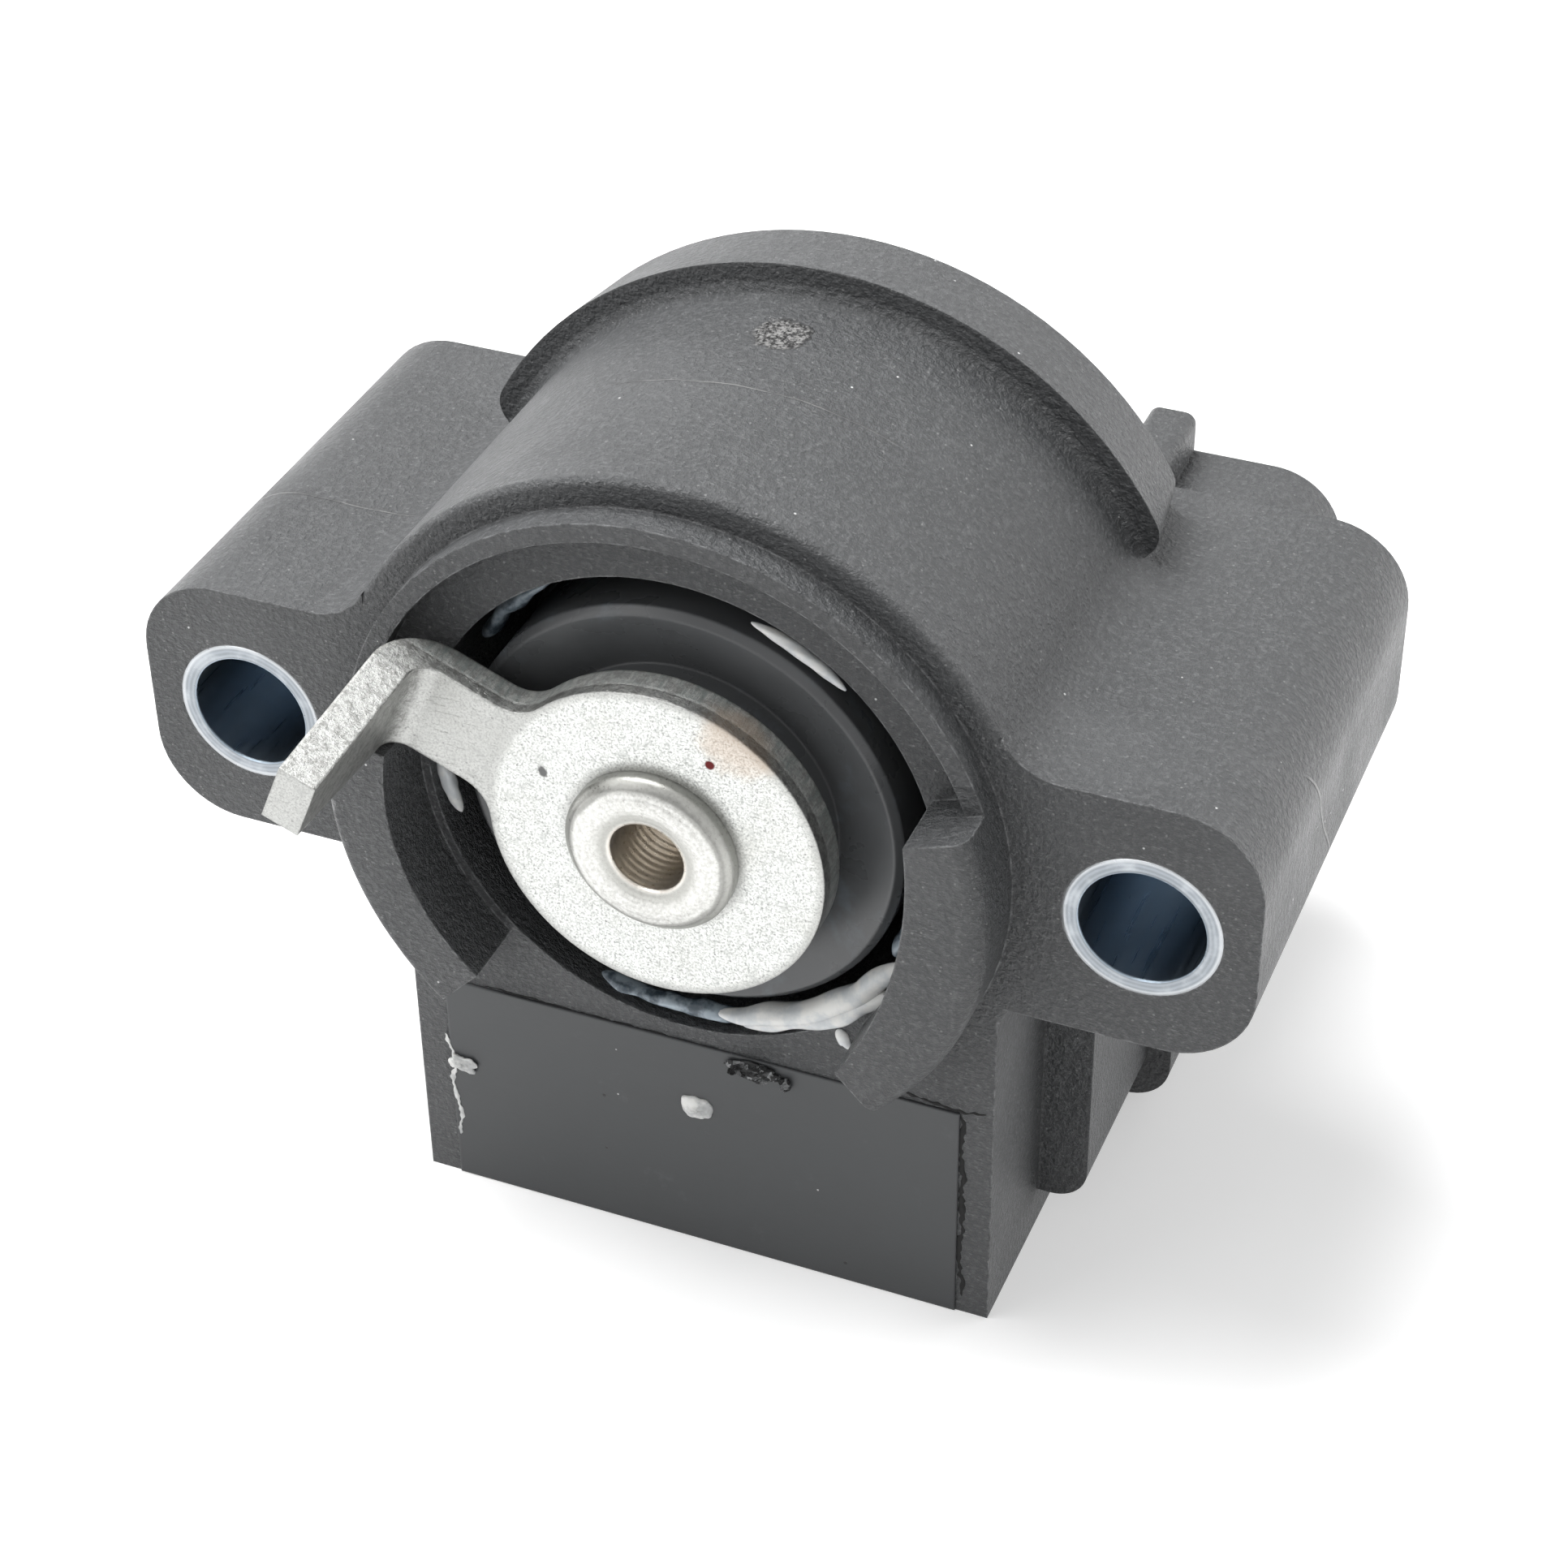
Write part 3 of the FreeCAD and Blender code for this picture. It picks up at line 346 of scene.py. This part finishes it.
def spindle_steel():
    """Turned and riveted steel: plated head with ring marks, brownish inside the hollow, with painted
    reflection darkening its slopes and painted shade at its crease.
    """
    f = Finish("spindle_steel", Metallic=1.0)
    grain = f.noise(0.2, 4.0, 0.65)
    base = f.blend(f.step(grain, 0.3, 0.7), (0.44, 0.44, 0.42, 1.0), (0.66, 0.66, 0.64, 1.0))
    inside = f.step(f.radius(), HOLLOW_RADIUS * MM, (HOLLOW_RADIUS - 0.3) * MM)
    base = f.blend(inside, base, f.blend(f.noise(1.2), (0.66, 0.6, 0.52, 1.0), (0.94, 0.91, 0.86, 1.0)))
    # Darker bands on the head's outer slope and round its hollow: painted reflection
    reach = f.plus(f.radius(), f.times(f.minus(f.noise(2.0), 0.5), 0.6 * MM))
    slope = f.larger(f.step(reach, 3.7 * MM, 4.3 * MM), f.step(reach, 3.0 * MM, 2.3 * MM))
    base = f.blend(f.times(slope, f.minus(0.75, inside)), base, (0.3, 0.3, 0.28, 1.0))
    # Dark ring at the crease: painted shade
    crease = f.step(f.absolute(f.minus(reach, CREASE_RADIUS * MM)), 0.22 * MM, 0.05 * MM)
    base = f.blend(f.times(crease, 0.6), base, (0.18, 0.18, 0.17, 1.0))
    f.set("Base Color", base)
    f.set("Roughness", f.step(grain, 0.2, 0.8, 0.24, 0.42))
    around = f.sine(f.times(f.radius(), 22 / MM))
    down = f.times(f.sine(f.times(f.y, 14 / MM)), inside)
    rings = f.plus(f.times(around, 0.25), down)
    height = f.plus(rings, grain)
    f.set("Normal", f.bump(height, 0.3, 0.04, f.soft_edges(0.3)))
    return f.material


def sleeve_steel():
    """Steel sleeve, bluish from its plating: turned rings on the end faces and drawn lines along the bore."""
    f = Finish("sleeve_steel", Metallic=1.0)
    off = f.minus(f.absolute(f.x), SLEEVE_AXIS * MM)
    squares = f.plus(f.times(off, off), f.times(f.z, f.z))
    radius = f.root(squares)
    rings = f.sine(f.times(f.plus(radius, f.times(f.noise(1.5), 0.2 * MM)), 24 / MM))
    lines = f.noise(0.35, 4.0, 0.6, f.stretched((1.0, 0.05, 1.0)))
    base = f.blend(f.step(rings, -1.0, 1.0), grey(0.24, 0.08), grey(0.3, 0.08))
    base = f.blend(f.step(f.noise(1.6, 4.0), 0.45, 0.7, 0.0, 0.5), base, grey(0.5, 0.05))
    # Paler band at the outer edge of the end faces: painted highlight
    outer = f.step(radius, (SLEEVE_OUTER_RADIUS - 0.28) * MM, (SLEEVE_OUTER_RADIUS - 0.1) * MM, 0.0, 0.7)
    base = f.blend(outer, base, grey(0.54, 0.03))
    bore = f.step(radius, (SLEEVE_BORE_RADIUS + 0.06) * MM, (SLEEVE_BORE_RADIUS + 0.02) * MM)
    base = f.blend(bore, base, grey(0.4, 0.16))
    f.set("Base Color", base)
    f.set("Roughness", f.step(lines, 0.2, 0.8, 0.24, 0.4))
    height = f.plus(f.times(rings, 0.2), lines)
    f.set("Normal", f.bump(height, 0.35, 0.03, f.soft_edges(0.3)))
    return f.material


def drawn_steel(name, low, high, roughness, blue):
    """Drawn or rolled steel with fine lines along Y and a slight tint."""
    f = Finish(name, Metallic=1.0)
    lines = f.noise(0.35, 4.0, 0.6, f.stretched((1.0, 0.05, 1.0)))
    clouds = f.noise(2.5)
    f.set("Base Color", f.blend(f.times(lines, clouds), grey(low, blue), grey(high, blue)))
    f.set("Roughness", f.step(clouds, 0.2, 0.8, roughness, roughness + 0.16))
    f.set("Normal", f.bump(lines, 0.3, 0.03, f.soft_edges(0.12)))
    return f.material


def bronze():
    """Sintered bronze with open pores."""
    f = Finish("bronze", Metallic=1.0, Roughness=0.45)
    pores = f.specks(0.35, 0.3, 0.5)
    # Pores darkened in colour: painted shade
    f.set("Base Color", f.blend(pores, (0.52, 0.33, 0.16, 1.0), (0.2, 0.12, 0.06, 1.0)))
    f.set("Normal", f.bump(f.minus(f.noise(0.5), pores), 0.4, 0.04))
    return f.material


def seal_rubber():
    """Matte black rubber with a fine bloom."""
    f = Finish("seal_rubber", Roughness=0.8)
    bloom = f.noise(0.8, 5.0)
    f.set("Base Color", f.blend(bloom, grey(0.012), grey(0.03)))
    f.set("Normal", f.bump(f.noise(0.2), 0.3, 0.03))
    return f.material


def pale_acetal():
    """Off-white sliding plastic with faint flow marks."""
    f = Finish("pale_acetal", Roughness=0.35)
    flow = f.noise(3.0, 4.0, 0.5, f.stretched((1.0, 1.0, 0.3)))
    f.set("Base Color", f.blend(flow, (0.62, 0.6, 0.53, 1.0), (0.75, 0.74, 0.68, 1.0)))
    f.set("Normal", f.bump(f.noise(0.3), 0.15, 0.02, f.soft_edges(0.15)))
    return f.material


def track_laminate():
    """Track board: pale ceramic with two printed black resistor rings and a silver collector ring."""
    f = Finish("track_laminate", Roughness=0.5)
    radius = f.radius()
    base = f.blend(f.noise(0.5), (0.6, 0.58, 0.52, 1.0), (0.72, 0.7, 0.64, 1.0))
    tracks = ((11.9, 0.8, grey(0.012)), (9.3, 0.8, grey(0.014)), (7.4, 0.5, grey(0.5, 0.02)))
    for middle, half, colour in tracks:
        off = f.absolute(f.minus(radius, middle * MM))
        base = f.blend(f.step(off, half * MM, (half - 0.06) * MM), base, colour)
    f.set("Base Color", base)
    f.set("Normal", f.bump(f.noise(0.2), 0.2, 0.02))
    return f.material


def circuit_laminate():
    """Green glass-epoxy board with a woven ground and scattered tinned pads."""
    f = Finish("circuit_laminate", Roughness=0.35)
    weave = f.times(f.sine(f.times(f.x, 9 / MM)), f.sine(f.times(f.z, 9 / MM)))
    pads = f.step(f.cells(2.4)[0], 0.26, 0.22)
    base = f.blend(f.step(weave, -1.0, 1.0), (0.012, 0.07, 0.03, 1.0), (0.02, 0.1, 0.045, 1.0))
    f.set("Base Color", f.blend(pads, base, (0.6, 0.6, 0.58, 1.0)))
    f.set("Metallic", pads)
    f.set("Normal", f.bump(f.plus(weave, pads), 0.2, 0.03))
    return f.material


def contact_strip():
    """Spring alloy strip with rolling lines."""
    f = Finish("contact_strip", Metallic=1.0, Roughness=0.3)
    lines = f.noise(0.2, 3.0, 0.6, f.stretched((1.0, 1.0, 0.05)))
    f.set("Base Color", f.blend(lines, (0.6, 0.45, 0.2, 1.0), (0.8, 0.64, 0.34, 1.0)))
    f.set("Normal", f.bump(lines, 0.2, 0.02))
    return f.material


def white_grease(name, thin, thick):
    """Soft white grease: translucent and wet, bluish where it is thin, with dark grains caught in it."""
    f = Finish(name, Roughness=0.25, IOR=1.47, Subsurface_Weight=0.3, Subsurface_Scale=0.6 * MM)
    f.set("Subsurface Radius", (1.0, 0.95, 0.9))
    body = f.noise(1.3, 5.0, 0.6)
    base = f.blend(f.step(body, 0.36, 0.62), thin, thick)
    base = f.blend(f.specks(0.9, 0.09, 0.2), base, grey(0.08))
    f.set("Base Color", base)
    f.set("Normal", f.bump(f.noise(1.4, 3.0), 0.3, 0.15))
    return f.material


def broken_resin():
    """Crumbled compound: dark grains with pale freshly broken faces."""
    f = Finish("broken_resin", Roughness=0.7)
    distance, colour = f.cells(0.3)
    pick = f.node("SeparateColor", {0: colour}).outputs[1]
    f.set("Base Color", f.blend(f.step(pick, 0.6, 0.85), grey(0.03, 0.03), grey(0.32, 0.02)))
    f.set("Normal", f.bump(distance, 0.8, 0.12))
    return f.material


def dark_gap():
    """Bottom of a crack, almost black, with grit."""
    f = Finish("dark_gap", Roughness=0.9)
    f.set("Base Color", f.blend(f.noise(0.25), grey(0.002), grey(0.012)))
    f.set("Normal", f.bump(f.noise(0.1), 0.5, 0.03))
    return f.material


def wobble(seed, *angles, terms=5):
    """Smooth repeatable waver, mostly within -1 and 1: half a sum of sines of the arrays, seeded in phase."""
    random = np.random.default_rng(seed)
    total = 0.0
    for term in range(1, terms + 1):
        wave = random.uniform(0, 2 * np.pi)
        for angle in angles:
            wave = wave + angle * random.integers(1, 3) * term
        total = total + np.sin(wave) / term ** 0.7
    return total / 2.0


def closed_form(name, rings, first, last, material, body):
    """Closed mesh through rings of points, with a pole at each end.

    rings is an array of (ring, point, xyz) in millimetres. Quads join each ring to the next, and a fan of
    triangles joins the end rings to the poles first and last. Normals are then turned outwards.
    """
    count, around = rings.shape[:2]
    points = np.concatenate([rings.reshape(-1, 3), [first], [last]]) * MM
    column = np.arange(around)
    following = (column + 1) % around
    row = np.arange(count - 1)[:, None] * around
    quads = np.stack([row + column, row + following, row + around + following, row + around + column], -1)
    pole = count * around
    end = (count - 1) * around
    caps = [np.stack([np.full(around, pole), following, column], -1),
            np.stack([np.full(around, pole + 1), end + column, end + following], -1)]
    faces = quads.reshape(-1, 4).tolist() + np.concatenate(caps).tolist()
    mesh = bpy.data.meshes.new(name)
    mesh.from_pydata(points.tolist(), [], faces)
    if signed_volume(points, faces) < 0:
        mesh.flip_normals()
    mesh.shade_smooth()
    mesh.materials.append(material)
    piece = bpy.data.objects.new(name, mesh)
    bpy.context.scene.collection.objects.link(piece)
    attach(piece, body)


def signed_volume(points, faces):
    """Sum over each face's fan of triangles of the triple product of its corners, over six."""
    fans = np.array([(f[0], f[i], f[i + 1]) for f in faces for i in range(1, len(f) - 1)])
    a, b, c = (points[fans[:, i]] for i in range(3))
    return float(np.einsum("ij,ij->i", a, np.cross(b, c)).sum() / 6)


def bead(name, path, half_width, half_height, across, up, material, seed, rough, around=20, blunt=6):
    """Lumpy bead along a path: an ellipse in the plane of across and up, carried from end to end.

    path, across and up are (point, xyz) arrays, half_width and half_height arrays along the path. The ellipse
    is widened and narrowed by a waver of its place along and round the bead, and shrinks to a pole at each
    end, sooner for a smaller power blunt.
    """
    count = len(path)
    turn = np.linspace(0, 2 * np.pi, around, endpoint=False)[None, :]
    along = np.linspace(0, 1, count)[:, None]
    swell = 1 + rough * wobble(seed, along * 5.0, turn, terms=3)
    shape = np.sqrt(np.clip(1 - (2 * along - 1) ** blunt, 0.02, 1)) * swell
    sideways = half_width[:, None] * shape * np.cos(turn)
    upwards = half_height[:, None] * shape * np.sin(turn)
    rings = path[:, None] + across[:, None] * sideways[..., None] + up[:, None] * upwards[..., None]
    closed_form(name, rings, path[0], path[-1], material, "case")


def arc_bead(name, start, end, radius, y, width, depth, material, seed, rough=0.1, lean=0.0, blunt=6):
    """Bead along an arc round the rotor's axis, its width measured along the radius and its depth along Y.

    radius and width are given at the start and the end, and change evenly between them. The radius leans by a
    waver, so that the bead's edge runs unevenly.
    """
    angle = np.radians(np.linspace(start, end, ARC_POINTS))
    reach = np.linspace(*radius, ARC_POINTS) + lean * wobble(seed + 7, np.linspace(0, 3, ARC_POINTS))
    out = np.stack([np.cos(angle), np.zeros(ARC_POINTS), np.sin(angle)], -1)
    path = out * reach[:, None] + np.array([0, y, 0])
    bulge = 0.88 + 0.12 * wobble(seed + 3, np.linspace(0, 3, ARC_POINTS))
    along_y = np.tile([0.0, 1.0, 0.0], (ARC_POINTS, 1))
    widths = np.linspace(*width, ARC_POINTS) * bulge
    bead(name, path, widths, depth * bulge, out, along_y, material, seed, rough, blunt=blunt)


def blob(name, centre, size, height, material, seed, rough=0.25, lumps=0.0, up=(0, 0, 1)):
    """Flattened blob on a front face: rings from the front pole to the rim and on to the back pole.

    A point at tilt t and turn a lies sin(t) of the size to the side, cos(a) of it along X and sin(a) of it
    along up, and cos(t) of the height towards -Y. The size wavers round the rim, and lumps raise and lower
    the height unevenly.
    """
    right = np.array([1.0, 0.0, 0.0])
    out = np.array([0.0, -1.0, 0.0])
    up = np.array(up, float)
    centre = np.array(centre, float)
    tilt = np.linspace(0, np.pi, BLOB_RINGS)[1:-1, None]
    turn = np.linspace(0, 2 * np.pi, BLOB_POINTS, endpoint=False)[None, :]
    rim = 1 + rough * wobble(seed, turn)
    rise = np.cos(tilt) * (1 + lumps * wobble(seed + 5, turn * 2, tilt * 6))
    side = np.sin(tilt) * rim
    rings = (centre + (side * np.cos(turn) * size[0])[..., None] * right
             + (side * np.sin(turn) * size[1])[..., None] * up + (rise * height)[..., None] * out)
    closed_form(name, rings, centre + out * height, centre - out * height, material, "case")


def front_line(name, corners, y, half_width, material, seed, waver=0.12):
    """Thin uneven line on the potting's front: a flat bead through (x, z) corners, wavering to both sides."""
    corners = np.array(corners, float)
    steps = np.concatenate([[0], np.cumsum(np.linalg.norm(np.diff(corners, axis=0), axis=1))])
    at = np.linspace(0, steps[-1], LINE_POINTS)
    flat = np.stack([np.interp(at, steps, corners[:, 0]), np.interp(at, steps, corners[:, 1])], -1)
    run = np.gradient(flat, axis=0)
    run /= np.linalg.norm(run, axis=1, keepdims=True)
    side = np.stack([-run[:, 1], run[:, 0]], -1)
    flat = flat + side * (waver * wobble(seed, at * 1.7))[:, None]
    path = np.stack([flat[:, 0], np.full(LINE_POINTS, y), flat[:, 1]], -1)
    across = np.stack([side[:, 0], np.zeros(LINE_POINTS), side[:, 1]], -1)
    width = half_width * (0.7 + 0.5 * wobble(seed + 2, at * 2.3))
    width = np.clip(width, half_width * 0.2, None)
    out = np.tile([0.0, -1.0, 0.0], (LINE_POINTS, 1))
    height = np.full(LINE_POINTS, 0.03)
    bead(name, path, width, height, across, out, material, seed, 0.5, around=10)


def dress_nodes():
    """Gives every solid its finish."""
    housing = moulded_plastic()
    spring = drawn_steel("spring_steel", 0.12, 0.4, 0.3, 0.03)
    sleeve = sleeve_steel()
    tin = drawn_steel("tinned_terminal", 0.5, 0.85, 0.3, -0.02)
    acetal = pale_acetal()
    contact = contact_strip()
    finishes = {
        "housing": housing, "rear_cover": housing, "potting": cast_resin(), "rotor": rotor_plastic(),
        "lever": zinc_plate(), "rotor_spindle": spindle_steel(),
        "mounting_sleeve_left": sleeve, "mounting_sleeve_right": sleeve,
        "bearing_bush": bronze(), "spindle_seal": seal_rubber(),
        "thrust_washer": acetal, "wiper_carrier": acetal,
        "retaining_clip": spring, "return_spring": spring, "reserve_spring": spring,
        "wiper_contact_outer": contact, "wiper_contact_inner": contact,
        "track_board": track_laminate(), "circuit_board": circuit_laminate(),
        "terminal_1": tin, "terminal_2": tin, "terminal_3": tin, "terminal_4": tin,
    }
    for name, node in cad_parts.items():
        node.data.materials.clear()
        node.data.materials.append(finishes[name])


def add_grease():
    """White grease pressed out of the rotor's gap, thick at the lower right and in films elsewhere."""
    thick = white_grease("thick_grease", (0.6, 0.63, 0.65, 1.0), (0.8, 0.8, 0.78, 1.0))
    film = white_grease("grease_film", (0.05, 0.07, 0.09, 1.0), (0.34, 0.4, 0.45, 1.0))
    arc_bead("grease_roll", -82, -28, (12.5, 13.3), 0.3, (0.55, 0.85), 0.75, thick, 11, lean=0.2)
    arc_bead("grease_edge", -76, -36, (13.0, 13.7), 0.2, (0.5, 0.7), 0.6, thick, 17, lean=0.25, rough=0.2)
    blob("grease_drip", (8.85, -0.05, -11.7), (0.35, 0.6), 0.3, thick, 61, up=(-0.2, 0, 1))
    arc_bead("grease_tail", -112, -76, (12.8, 12.8), 0.5, (0.4, 0.5), 0.6, film, 23, lean=0.15, rough=0.2)
    arc_bead("grease_right", -30, -12, (12.9, 12.7), 1.4, (0.5, 0.4), 1.0, film, 31, lean=0.1)
    arc_bead("grease_left", 180, 197, (13.5, 13.1), 0.8, (0.5, 0.45), 0.45, thick, 43, blunt=2)
    arc_bead("grease_top_left", 124, 150, (13.0, 13.0), 2.4, (0.4, 0.5), 1.0, film, 47, lean=0.15)
    arc_bead("grease_top_right", 47, 72, (12.75, 12.65), 0.7, (0.4, 0.36), 0.4, thick, 53, blunt=2)


def add_cast_marks():
    """Seam, cracks, bubble and crumbled patch of the potting, and the residue along its left edge."""
    gap = dark_gap()
    crumb = broken_resin()
    residue_and_bubble_sheen = white_grease("dried_residue_with_painted_sheen", (0.45, 0.46, 0.46, 1.0), (0.82, 0.82, 0.8, 1.0))
    crack = [(15.25, -14.7), (15.3, -17.3), (15.45, -21.8), (15.35, -24.8), (15.6, -27.6)]
    front_line("crack_right", crack, 0.0, 0.2, gap, 3)
    branch = [(11.6, -14.2), (13.4, -14.5), (15.4, -14.6), (16.6, -14.4)]
    front_line("crack_top_right", branch, 0.0, 0.1, gap, 5, waver=0.06)
    seam = [(-11.6, -14.6), (-6.5, -14.7), (-1.5, -14.7), (1.5, -14.9)]
    front_line("seam_top", seam, 0.0, 0.08, gap, 9, waver=0.06)
    x, z = CRUMBLE_PLACE
    blob("crumbled_patch", (x, -0.3, z), (1.7, 0.42), 0.24, crumb, 15, rough=0.6, lumps=0.9)
    random = np.random.default_rng(71)
    for chip in range(1, CHIPS + 1):
        along = random.uniform(-CRUMBLE_REACH[0], CRUMBLE_REACH[0])
        off = random.uniform(-CRUMBLE_REACH[1], CRUMBLE_REACH[1]) - 0.1 * along
        size = (random.uniform(0.12, 0.42), random.uniform(0.08, 0.2))
        place = (x + along, -0.35, z + off)
        blob(f"crumb_{chip}", place, size, 0.22, crumb, 80 + chip, rough=0.5, lumps=0.9)
    # The bubble's pale colour is painted sheen; the streak and flake below are real dried residue
    blob("cast_bubble", (0.69, POTTING_FRONT, -19.05), (0.95, 0.75), 0.3, residue_and_bubble_sheen, 21,
         rough=0.16, lumps=0.3)
    streak = [(-14.1, -18.6), (-13.6, -20.2), (-13.9, -22.0), (-13.6, -24.0), (-13.7, -25.8)]
    front_line("residue_left", streak, -0.17, 0.16, residue_and_bubble_sheen, 27, waver=0.08)
    blob("residue_flake", (-13.2, -0.3, -20.3), (0.85, 0.5), 0.2, residue_and_bubble_sheen, 33,
         rough=0.4, lumps=0.5)


def add_camera():
    """Camera at the photograph's place, aimed so that the image centre needs no shift."""
    azimuth, elevation, roll = np.radians(CAMERA_TURN)
    right = np.array([np.cos(azimuth), np.sin(azimuth), 0.0])
    level = np.cos(elevation)
    back = np.array([np.sin(azimuth) * level, -np.cos(azimuth) * level, np.sin(elevation)])
    up = np.cross(back, right)
    right, up = np.cos(roll) * right + np.sin(roll) * up, np.cos(roll) * up - np.sin(roll) * right
    place = (right * CAMERA_PLACE[0] + up * CAMERA_PLACE[1] + back * CAMERA_PLACE[2]) * MM
    back = back - right * CAMERA_LEAN[0] - up * CAMERA_LEAN[1]
    back /= np.linalg.norm(back)
    right = right - back * (right @ back)
    right /= np.linalg.norm(right)
    up = np.cross(back, right)
    data = bpy.data.cameras.new("photo_camera")
    data.sensor_width = SENSOR_WIDTH
    data.lens = SENSOR_WIDTH * FOCAL_PIXELS / PHOTO_PIXELS
    data.clip_start = 0.01
    data.clip_end = 10.0
    camera = bpy.data.objects.new("photo_camera", data)
    camera.matrix_world = Matrix.Translation(place) @ Matrix((right, up, back)).transposed().to_4x4()
    bpy.context.scene.collection.objects.link(camera)
    bpy.context.scene.camera = camera


def soft_light(name, place, aim, size, power):
    """Square area light at a place, turned towards a point: lengths in metres, power in watts."""
    data = bpy.data.lights.new(name, "AREA")
    data.shape = "SQUARE"
    data.size = size
    data.energy = power
    light = bpy.data.objects.new(name, data)
    light.location = place
    light.rotation_mode = "QUATERNION"
    light.rotation_quaternion = (Vector(aim) - Vector(place)).to_track_quat("-Z", "Y")
    bpy.context.scene.collection.objects.link(light)


def add_studio():
    """Pale floor, a bright plain world and soft lights from above, the front left and the back right."""
    mesh = bpy.data.meshes.new("floor")
    square = np.array([(-1, -1, 0), (1, -1, 0), (1, 1, 0), (-1, 1, 0)])
    corners = square * FLOOR_REACH + np.array([0, 0, FLOOR_LEVEL * MM])
    mesh.from_pydata(corners.tolist(), [], [(0, 1, 2, 3)])
    floor = bpy.data.objects.new("floor", mesh)
    bpy.context.scene.collection.objects.link(floor)
    f = Finish("pale_floor", Roughness=0.9, Specular_IOR_Level=0.0)
    paper = f.noise(400.0, 3.0)
    f.set("Base Color", f.blend(paper, (0.82, 0.82, 0.82, 1.0), (0.84, 0.84, 0.84, 1.0)))
    f.set("Emission Color", (1.0, 1.0, 1.0, 1.0))
    seen = f.node("LightPath", {})
    shown = f.larger(seen.outputs["Is Camera Ray"], seen.outputs["Is Glossy Ray"])
    away = f.step(f.distance((0.0, 0.0, FLOOR_LEVEL)), *FLOOR_FADE, *FLOOR_GLOW)
    f.set("Emission Strength", f.times(shown, away))
    mesh.materials.append(f.material)
    world = bpy.data.worlds.new("studio")
    world.use_nodes = True
    tree = world.node_tree
    background = tree.nodes["Background"]
    rays = tree.nodes.new("ShaderNodeLightPath")
    strength = tree.nodes.new("ShaderNodeMapRange")
    shown = tree.nodes.new("ShaderNodeMath")
    shown.operation = "MAXIMUM"
    tree.links.new(rays.outputs["Is Camera Ray"], shown.inputs[0])
    tree.links.new(rays.outputs["Is Glossy Ray"], shown.inputs[1])
    tree.links.new(shown.outputs[0], strength.inputs["Value"])
    strength.inputs["To Min"].default_value = WORLD_LIGHT
    strength.inputs["To Max"].default_value = WORLD_SEEN
    tree.links.new(strength.outputs["Result"], background.inputs["Strength"])
    background.inputs["Color"].default_value = (1.0, 1.0, 1.0, 1.0)
    bpy.context.scene.world = world
    soft_light("overhead", (-0.17, 0.05, 0.42), (0, 0, 0), 0.32, 3.7)
    soft_light("front_left", (-0.26, -0.2, 0.2), (0, 0, 0), 0.25, 0.25)
    soft_light("right_back", (0.32, 0.26, 0.03), (0.03, 0.01, 0), 0.25, 1.0)


dress_nodes()
add_grease()
add_cast_marks()
add_camera()
add_studio()
bpy.context.scene.view_settings.view_transform = "Standard"
